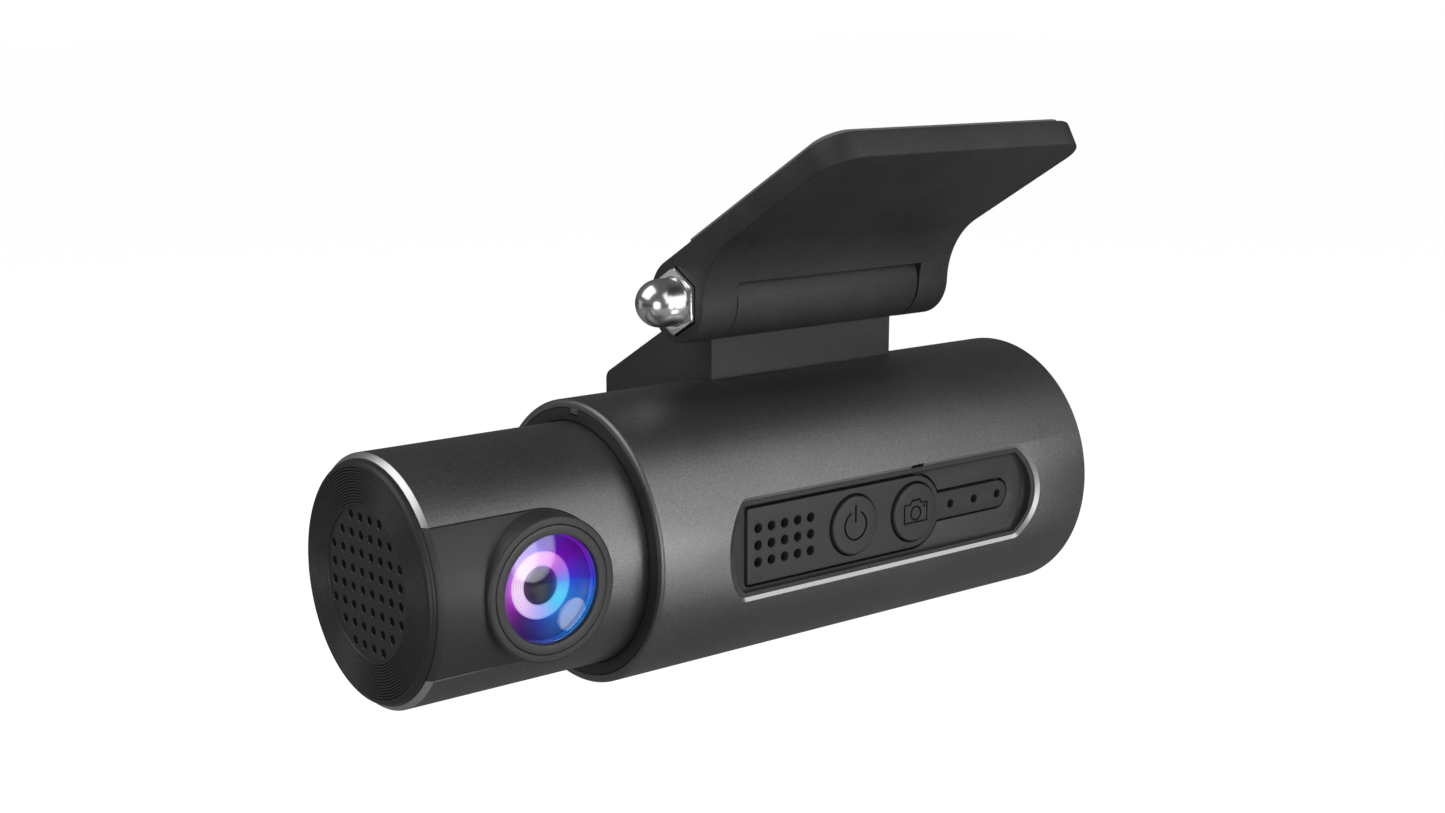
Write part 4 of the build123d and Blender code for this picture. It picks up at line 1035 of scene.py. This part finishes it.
def makePanel():
    bm = bmesh.new()
    loops = windowLoop(bm, keys["panelGrow"], height=0)
    bmesh.ops.contextual_create(bm, geom=loops)
    raiseFace(bm, keys["panelBack"], keys["panelFace"])
    barrel = rod(keys["panelCurve"], -40, 40, 192)
    bm = carve(bm, moved(barrel, keyToTube.inverted()), "INTERSECT")
    face = keys["panelFace"]
    fit, cove = keys["fit"], keys["cove"]
    reach = tube["radius"] - tube["windowChamfer"] - fit
    rim = stackedCutter(windowLoop, [(-fit, face - 0.6, None), (-fit, None, reach)])
    turns = [radians(turn) for turn in range(0, 91, 15)]
    levels = [
        (-fit - keys["rim"] - cove * (1 - sin(turn)), face + cove * (1 - cos(turn))) for turn in turns
    ]
    hollow = stackedCutter(windowLoop, levels + [(-fit - keys["rim"], face + 4)])
    rim = carve(rim, hollow)
    bm = carve(bm, rim, "UNION")
    hole = raiseFace(keyOutline(keys["trench"]), keys["panelBack"] - 1, keys["panelFace"] + 1)
    bm = carve(bm, hole)
    softenEdges(
        bm,
        0.07,
        2,
        50,
        lambda co: abs(co.z - keys["panelFace"]) < 1e-3 and abs(co.y) < 5.6 and keys["left"] - 0.5 < co.x < 26,
    )
    makePiece("sidePanel", bm, towardsKeys, ["panelPlastic"], "camera", ["side_panel"])

    top = keys["panelFace"] + keys["raise"]
    plate = raiseFace(keyOutline(0), keys["panelBack"] - 0.02, top)
    softenEdges(plate, 0.12, 3, 50, lambda co: co.z > top - 1e-3)
    flange = raiseFace(keyOutline(1.0), keys["panelBack"] - 0.8, keys["panelBack"])
    plate = carve(plate, flange, "UNION")
    bottom = keys["panelBack"] - 2
    pitch = keys["micPitch"]
    spots = [
        (keys["micFirst"] + column * pitch, row * pitch) for column in range(5) for row in (-1, 0, 1)
    ]
    holes = [flaredHole(x, y, keys["micRadius"], top, bottom) for x, y in spots]
    for x in [keys["ledFirst"] + step * keys["ledPitch"] for step in range(3)]:
        holes.append(flaredHole(x, 0, keys["ledRadius"], top, bottom))
    for x in (keys["powerX"], keys["cameraX"]):
        holes.append(flaredHole(x, 0, keys["buttonRadius"] + keys["buttonGap"], top, bottom, 0.1, 96))
    plate = carve(plate, joinShapes(holes))
    makePiece("keyPlate", plate, towardsKeys, ["panelPlastic"], "camera", ["key_plate"])


makePanel()


def strokeBar(x0, y0, x1, y1, width, low, high):
    # a straight engraved stroke, as a cutter
    run = Vector((x1 - x0, y1 - y0, 0))
    bm = block((0, -width / 2, low), (run.length, width / 2, high))
    turn = Matrix.Rotation(atan2(run.y, run.x), 4, "Z")
    return moved(bm, Matrix.Translation((x0, y0, 0)) @ turn)


def strokeRing(radius, width, low, high, centre=(0, 0)):
    inner, outer = radius - width / 2, radius + width / 2
    return turnedShape([(inner, low), (outer, low), (outer, high), (inner, high)], (), 64, centre)


def powerIcon(low, high):
    stroke = keys["iconStroke"]
    ring = strokeRing(1.98, stroke, low, high)
    gap = block((-0.85, 0.6, low - 1), (0.85, 3, high + 1))
    ring = carve(ring, gap)
    return [ring, strokeBar(0, 0.4, 0, 2.85, stroke, low, high)]


def cameraIcon(low, high):
    stroke = keys["iconStroke"] * 0.85
    corners = [(-2.3, -1.5), (2.3, -1.5), (2.3, 1.35), (1.15, 1.35)]
    corners += [(0.75, 1.95), (-0.75, 1.95), (-1.15, 1.35), (-2.3, 1.35)]
    outer = bmesh.new()
    penOutline(outer, corners[0], corners[1:])
    raiseFace(outer, low, high)
    grown = Vector((1 - stroke * 2 / 4.6, 1 - stroke * 2 / 3.2, 1))
    inner = bmesh.new()
    penOutline(inner, corners[0], corners[1:])
    raiseFace(inner, low - 1, high + 1)
    bmesh.ops.scale(inner, vec=grown, verts=inner.verts)
    frameShape = carve(outer, inner)
    lens = strokeRing(0.95, stroke, low, high, (0, -0.1))
    return [frameShape, lens, rod(0.19, low, high, 16, (1.65, 0.75))]


button = {"stem": 1.2, "stemEnd": 12.95, "flange": 4.9, "flangeBack": 13.76, "flangeFace": 14.46}


def makeButton(name, x, icon, body, stands):
    face = keys["buttonFace"]
    radius = keys["buttonRadius"]
    stem, back, front = button["stem"], button["flangeBack"], button["flangeFace"]
    profile = [(0, button["stemEnd"]), (stem, button["stemEnd"]), (stem, back), (button["flange"], back)]
    profile += [(button["flange"], front), (radius, front), (radius, face), (0, face)]
    bm = turnedShape(profile, [(6, keys["buttonRound"], 6), (4, 0.1, 2)], 128)
    floor = face - keys["iconDeep"]
    for cutter in icon(floor, face + 0.5):
        bm = carve(bm, cutter)
    # the engraved icon floors are painted near black, as painted shade in the recesses
    paintFaces(bm, 1, lambda spot, normal: spot.xy.length < 3.5 and floor - 0.01 < spot.z < face - 0.02)
    bmesh.ops.translate(bm, verts=bm.verts, vec=(x, 0, 0))
    makePiece(name, bm, towardsKeys, ["keyPlastic", "paintedShadeInside"], body, [stands])


makeButton("powerButton", keys["powerX"], powerIcon, "power_key", "power_button")
makeButton("cameraButton", keys["cameraX"], cameraIcon, "camera_key", "camera_button")
print("keys made")

# bracket and hinge
bracket = {
    "ear": 5.75,
    "half": 23.05,
    "reach": 38.2,
    "under": 2.15,
    "cove": 11.0,
    "corner": 4.75,
    "edge": 0.28,
    "slotHalf": 17.1,
    "slotRadius": 6.8,
    "pad": (43.7, 4.8, 37.0, 0.8, 3.55),
    "boltBore": 2.55,
    "nutPocket": (4.2, 19.6),
    "headPocket": (4.85, 20.05),
}


def makeBracket():
    ear, under, cove = bracket["ear"], bracket["under"], bracket["cove"]
    coveHeight = under - cove
    coveRun = sqrt((ear + cove) ** 2 - coveHeight**2)
    meet = degrees(atan2(-coveHeight, coveRun))
    bm = bmesh.new()
    penOutline(
        bm,
        (0, ear),
        [
            (bracket["reach"], ear),
            (bracket["reach"], under),
            (coveRun, under),
            ((coveRun, coveHeight), 90 - meet, 20),
            ((0, 0), -(270 - meet), 64),
        ],
    )
    raiseFace(bm, -bracket["half"], bracket["half"])
    corners = [
        edge
        for edge in bm.edges
        if all(abs(vert.co.x - bracket["reach"]) < 1e-3 for vert in edge.verts)
        and abs(edge.verts[0].co.z - edge.verts[1].co.z) < 1e-3
    ]
    bevel(bm, corners, bracket["corner"], 12)
    softenEdges(bm, bracket["edge"], 3, 32)
    bm = carve(bm, rod(bracket["slotRadius"], -bracket["slotHalf"], bracket["slotHalf"]))
    bm = carve(bm, rod(bracket["boltBore"], -30, 30, 48))
    # seen from -X the plate's own Z is reversed: the nut's pocket is on its high side
    halfFlats, pocketFloor = bracket["nutPocket"]
    pocket = hexBlock(halfFlats, pocketFloor, 26)
    bm = carve(bm, moved(pocket, Matrix.Rotation(-slope, 4, "Z")))
    headRadius, headFloor = bracket["headPocket"]
    bm = carve(bm, rod(headRadius, -26, -headFloor, 96))
    plastic = ["bracketPlastic"]
    makePiece("bracketPlate", bm, plateSide, plastic, "bracket", ["bracket_plate"], 26)

    width, start, end, thick, corner = bracket["pad"]
    pad = bmesh.new()
    penOutline(pad, (-width / 2, -end), [(width / 2, -end), (width / 2, -start), (-width / 2, -start)])
    roundCorners(pad, lambda co: co.y < -end + 1e-3, corner, 10)
    roundCorners(pad, lambda co: co.y > -start - 1e-3 and abs(co.x) > width / 2 - 1e-3, 1.2, 6)
    raiseFace(pad, ear, ear + thick)
    softenEdges(pad, 0.12, 2, 50, lambda co: co.z > ear + thick - 1e-3)
    makePiece("adhesivePad", pad, platePad, ["padFoam"], "bracket", ["adhesive_pad"])


makeBracket()

foot = {
    "half": 16.9,
    "knuckle": 5.72,
    "height": 30.54,
    "back": 24.95,
    "bottom": 9.5,
    "lift": 0.42,
    "round": 1.5,
    "edge": 0.16,
    "heel": (13.68, 1.9),
    "saddle": 19.03,
    "boltBore": 3.45,
}


def makeFoot():
    start = (foot["lift"] * sin(slope), foot["lift"] * cos(slope))
    backTop = start[1] - (foot["back"] - start[0]) * tan(slope)
    bottom = foot["bottom"] - foot["height"]
    heelY, heelZ = foot["heel"]
    half, knuckleRadius = foot["half"], foot["knuckle"]
    bm = bmesh.new()
    penOutline(
        bm,
        (0, 0),
        [(0, bottom), (heelY, heelZ - foot["height"]), (foot["back"], bottom), (foot["back"], backTop), start],
    )
    roundCorners(bm, lambda co: co.x > foot["back"] - 1e-3, foot["round"], 8)
    raiseFace(bm, -half, half)

    def outerEdge(co):
        return abs(co.z) > half - 1e-3 or (abs(co.x) < 1e-3 and co.y < -5)

    softenEdges(bm, foot["edge"], 3, 32, outerEdge)
    profile = [(0, -half), (knuckleRadius, -half), (knuckleRadius, half), (0, half)]
    bm = carve(bm, turnedShape(profile, [(1, 0.2, 3), (2, 0.2, 3)], 160), "UNION")
    saddle = rod(foot["saddle"], -30, 30, 288)
    bm = carve(bm, moved(saddle, Matrix.Translation((0, -foot["height"], 0))))
    bm = carve(bm, rod(foot["boltBore"], -30, 30, 64))
    makePiece(
        "hingeFoot", bm, alongHinge, ["bracketPlastic"], "camera", ["hinge_foot"], 26
    )


makeFoot()

nut = {
    "flats": 8.0,
    "face": -23.62,
    "seat": -19.63,
    "dome": 3.27,
    "domeCentre": -25.85,
    "neck": 3.27,
    "bore": 2.52,
    "boreEnd": -25.2,
}


def makeNut():
    corner = nut["flats"] / 2 / cos(pi / 6)
    face, seat, neck = nut["face"], nut["seat"], nut["neck"]
    hexShape = hexBlock(nut["flats"] / 2, face, seat)
    lathe = turnedShape(
        [
            (0, face - 1),
            (corner - 0.3, face - 0.001),
            (corner + 0.02, face + 0.2),
            (corner + 0.02, seat + 1),
            (0, seat + 1),
        ],
        (),
        96,
    )
    bm = carve(hexShape, lathe, "INTERSECT")
    softenEdges(bm, 0.09, 2, 25)
    steps = 14
    domePoints = [
        (nut["dome"] * sin(pi / 2 * step / steps), nut["domeCentre"] - nut["dome"] * cos(pi / 2 * step / steps))
        for step in range(steps + 1)
    ]
    foot = [(neck, face - 0.35), (neck + 0.35, face + 0.3), (0, face + 0.3)]
    bm = carve(bm, turnedShape(domePoints + foot, (), 96), "UNION")
    bm = carve(bm, rod(nut["bore"], nut["boreEnd"], -18, 48))
    makePiece("acornNut", bm, alongHinge, ["nutChrome"], "bracket", ["acorn_nut"], 30)


makeNut()

bolt = {"radius": 2.5, "head": 4.75, "seat": 20.05, "top": 22.75, "socketHalf": 1.5, "socketDeep": 1.9}


def makeBolt():
    tip, seat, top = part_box("hinge_bolt")[0].x / mm, bolt["seat"], bolt["top"]
    radius, head = bolt["radius"], bolt["head"]
    bm = turnedShape(
        [(0, tip), (radius, tip), (radius, seat), (head, seat), (head, top), (0, top)],
        [(1, 0.4, 2), (4, 1.3, 8), (3, 0.15, 2)],
        96,
    )
    bm = carve(bm, hexBlock(bolt["socketHalf"], top - bolt["socketDeep"], top + 1))
    makePiece("hingeBolt", bm, alongHinge, ["plainSteel"], "bracket", ["hinge_bolt"], 30)


makeBolt()
print("bracket made")

# socket end
endCap = {
    "radius": 17.86,
    "thick": 3.1,
    "round": 0.45,
    "dish": 13.7,
    "dishDeep": 0.5,
    "cardSlot": (1.4, 11.4),
    "cardCorner": 0.2,
    "corner": 0.49,
    "fingerDip": (3.0, 7.0, 1.3),
    "inletHole": (3.46, 9.14),
    "inletMouth": (5.86, 12.54, 1.1),
    "reset": (0.6, 11.71),  # its radius, and how far out it is
    "screwOut": 16.1,
    "screwHole": (0.9, 1.55, 1.2),
}
cardLow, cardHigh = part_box("memory_card")
inletLow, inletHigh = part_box("power_inlet")


def slotBlock(centre, width, length, low, high, corner):
    # a cutter for a slot in the end cap, with rounded corners
    bm = block((-width / 2, -length / 2, low), (width / 2, length / 2, high))
    edges = [edge for edge in bm.edges if abs(edge.verts[0].co.z - edge.verts[1].co.z) > 1e-3]
    bevel(bm, edges, corner, 8)
    bmesh.ops.translate(bm, verts=bm.verts, vec=(*centre, 0))
    return bm


def makeEndCap():
    inner = rearX - endCap["thick"]
    bm = turnedShape(
        [
            (0, inner),
            (endCap["radius"], inner),
            (endCap["radius"], rearX),
            (endCap["dish"] + 0.4, rearX),
            (endCap["dish"], rearX - endCap["dishDeep"]),
            (0, rearX - endCap["dishDeep"]),
        ],
        [(2, endCap["round"], 5), (3, 0.2, 3), (4, 0.2, 3)],
        192,
    )
    toLocal = alongTube.inverted()
    card = toLocal @ ((cardLow + cardHigh) / 2)
    inlet = toLocal @ ((inletLow + inletHigh) / 2)
    deep, out, corner = inner - 1, rearX + 1, endCap["corner"]
    dipWidth, dipLength, dipDeep = endCap["fingerDip"]
    holeWidth, holeLength = endCap["inletHole"]
    mouthWidth, mouthLength, mouthDeep = endCap["inletMouth"]
    resetRadius, resetOut = endCap["reset"]
    cutters = [
        slotBlock(card.xy, *endCap["cardSlot"], deep, out, endCap["cardCorner"]),
        slotBlock(card.xy, dipWidth, dipLength, rearX - dipDeep, out, corner),
        slotBlock(inlet.xy, holeWidth, holeLength, deep, out, corner),
        slotBlock(inlet.xy, mouthWidth, mouthLength, rearX - mouthDeep, out, corner),
        rod(resetRadius, deep, out, 24, (-resetOut, 0)),
    ]
    shank, head, headDeep = endCap["screwHole"]
    profile = [(0, deep), (shank, deep), (shank, rearX - headDeep), (head, rearX - headDeep)]
    for side in (1, -1):
        spot = (0, side * endCap["screwOut"])
        cutters.append(turnedShape(profile + [(head, out), (0, out)], (), 32, spot))
    for cutter in cutters:
        bm = carve(bm, cutter)
    makePiece("endCap", bm, alongTube, ["bracketPlastic"], "camera", ["end_cap"], 26)


makeEndCap()
print("socket end made")

# finishes of the CAD pieces that stay
cadFinishes = {
    "plainSteel": [
        "hinge_sleeve", "friction_washers", "foot_screws", "board_screws", "holder_screws", "cap_screws"
    ],
    "speakerSteel": ["card_socket", "power_inlet", "processor_shield", "speaker"],
    "innerPlastic": ["chassis", "swivel_hub", "lens_holder", "ribbon_connector", "reset_switch"],
    "slideRing": ["bearing_ring", "tact_switches"],
    "circuitBoard": ["main_board", "sensor_board"],
    "chipBlack": ["processor", "memory_chips", "microphone", "image_sensor", "memory_card"],
    # the light guides and status lights get near-black painted shade
    "paintedShadeGuide": ["light_guide", "status_lights"],
    "coverGlass": ["rear_lens", "infrared_filter"],
    "lensMetal": ["lens_barrel", "heat_spreader"],
    "capacitorSleeve": ["capacitors"],
    "softRubber": ["speaker_gasket"],
    "wovenMesh": ["mic_mesh", "grille_mesh"],
    "amberFilm": ["antenna", "board_ribbon", "sensor_ribbon"],
}
for look, names in cadFinishes.items():
    for name in names:
        node = frame["nodes"][name]
        for slot in node.material_slots:
            slot.material = looks[look]
print("CAD pieces finished")

# floor, light and camera
stageValues = {
    "floorDrop": 0.16,
    "floorSize": 30.0,
    "floorColour": (0.36, 0.36, 0.36, 1),
    "floorGlow": 0.95,
    "worldLevel": 0.1,
}


def makeFloor():
    bm = bmesh.new()
    bmesh.ops.create_grid(bm, x_segments=4, y_segments=4, size=stageValues["floorSize"] / 2)
    bmesh.ops.translate(bm, verts=bm.verts, vec=(0, 0, tubeLow.z - stageValues["floorDrop"]))
    mesh = bpy.data.meshes.new("floor")
    bm.to_mesh(mesh)
    bm.free()
    matt = {"Base Color": stageValues["floorColour"], "Roughness": 0.9, "Specular IOR Level": 0.1}
    material, tree, shader = newMaterial("paleFloor", {**matt, "Emission Color": (1, 1, 1, 1)})
    toCamera = addNode(tree, "LightPath").outputs["Is Camera Ray"]
    setInputs(
        tree, shader, {"Emission Strength": maths(tree, "MULTIPLY", toCamera, stageValues["floorGlow"])}
    )
    mesh.materials.append(material)
    floor = bpy.data.objects.new("floor", mesh)
    scene.collection.objects.link(floor)


makeFloor()


def makeWorld():
    world = bpy.data.worlds.new("studio")
    scene.world = world
    world.use_nodes = True
    tree = world.node_tree
    plain = tree.nodes["Background"]
    setInputs(tree, plain, {"Color": (1, 1, 1, 1), "Strength": stageValues["worldLevel"]})
    backdrop = addNode(tree, "Background", {"Color": (1, 1, 1, 1), "Strength": 1.0})
    toCamera = addNode(tree, "LightPath").outputs["Is Camera Ray"]
    mix = addNode(tree, "MixShader", {0: toCamera, 1: plain.outputs[0], 2: backdrop.outputs[0]})
    setInputs(tree, tree.nodes["World Output"], {"Surface": mix.outputs[0]})


makeWorld()

centre = Vector((-0.016, axisPoint.y, axisPoint.z))
lamps = {
    # name: (place from the middle of the camera in metres, width, height, power in watts, shape)
    "keySoftbox": ((0.32, -0.66, 0.42), 1.0, 0.74, 2.8, "RECTANGLE"),
    "lensSoftbox": ((0.28, -0.66, -0.03), 0.22, 0.27, 0.7, "ELLIPSE"),
    "lensSoftboxSmall": ((0.23, -0.68, -0.05), 0.14, 0.2, 0.3, "ELLIPSE"),
    "lensGlint": ((0.147, -0.195, -0.123), 0.055, 0.05, 0.032, "ELLIPSE"),
    "topSoftbox": ((-0.5, 0.25, 0.6), 0.7, 0.7, 3.0, "RECTANGLE"),
    "leftStrip": ((-0.6, -0.52, 0.0), 0.3, 0.3, 1.5, "RECTANGLE"),
    "backLeft": ((-0.45, 0.5, -0.02), 0.3, 0.25, 0.08, "RECTANGLE"),
}


def makeLamps():
    for name, (offset, width, height, power, shape) in lamps.items():
        light = bpy.data.lights.new(name, "AREA")
        light.shape = shape
        light.size = width
        light.size_y = height
        light.energy = power
        lamp = bpy.data.objects.new(name, light)
        lamp.location = centre + Vector(offset)
        lamp.rotation_euler = (centre - lamp.location).to_track_quat("-Z", "Y").to_euler()
        scene.collection.objects.link(lamp)


makeLamps()

shot = {"place": (-0.185204, -0.194597, 0.022099), "yaw": 39.108, "pitch": 11.249, "lens": 49.41}


def makeCamera():
    data = bpy.data.cameras.new("camera")
    data.lens = shot["lens"]
    data.sensor_width = 36
    data.sensor_fit = "HORIZONTAL"
    data.clip_start = 0.01
    camera = bpy.data.objects.new("camera", data)
    camera.location = shot["place"]
    camera.rotation_euler = (radians(90 - shot["pitch"]), 0, radians(-shot["yaw"]))
    scene.collection.objects.link(camera)
    scene.camera = camera


makeCamera()

print("scene made")
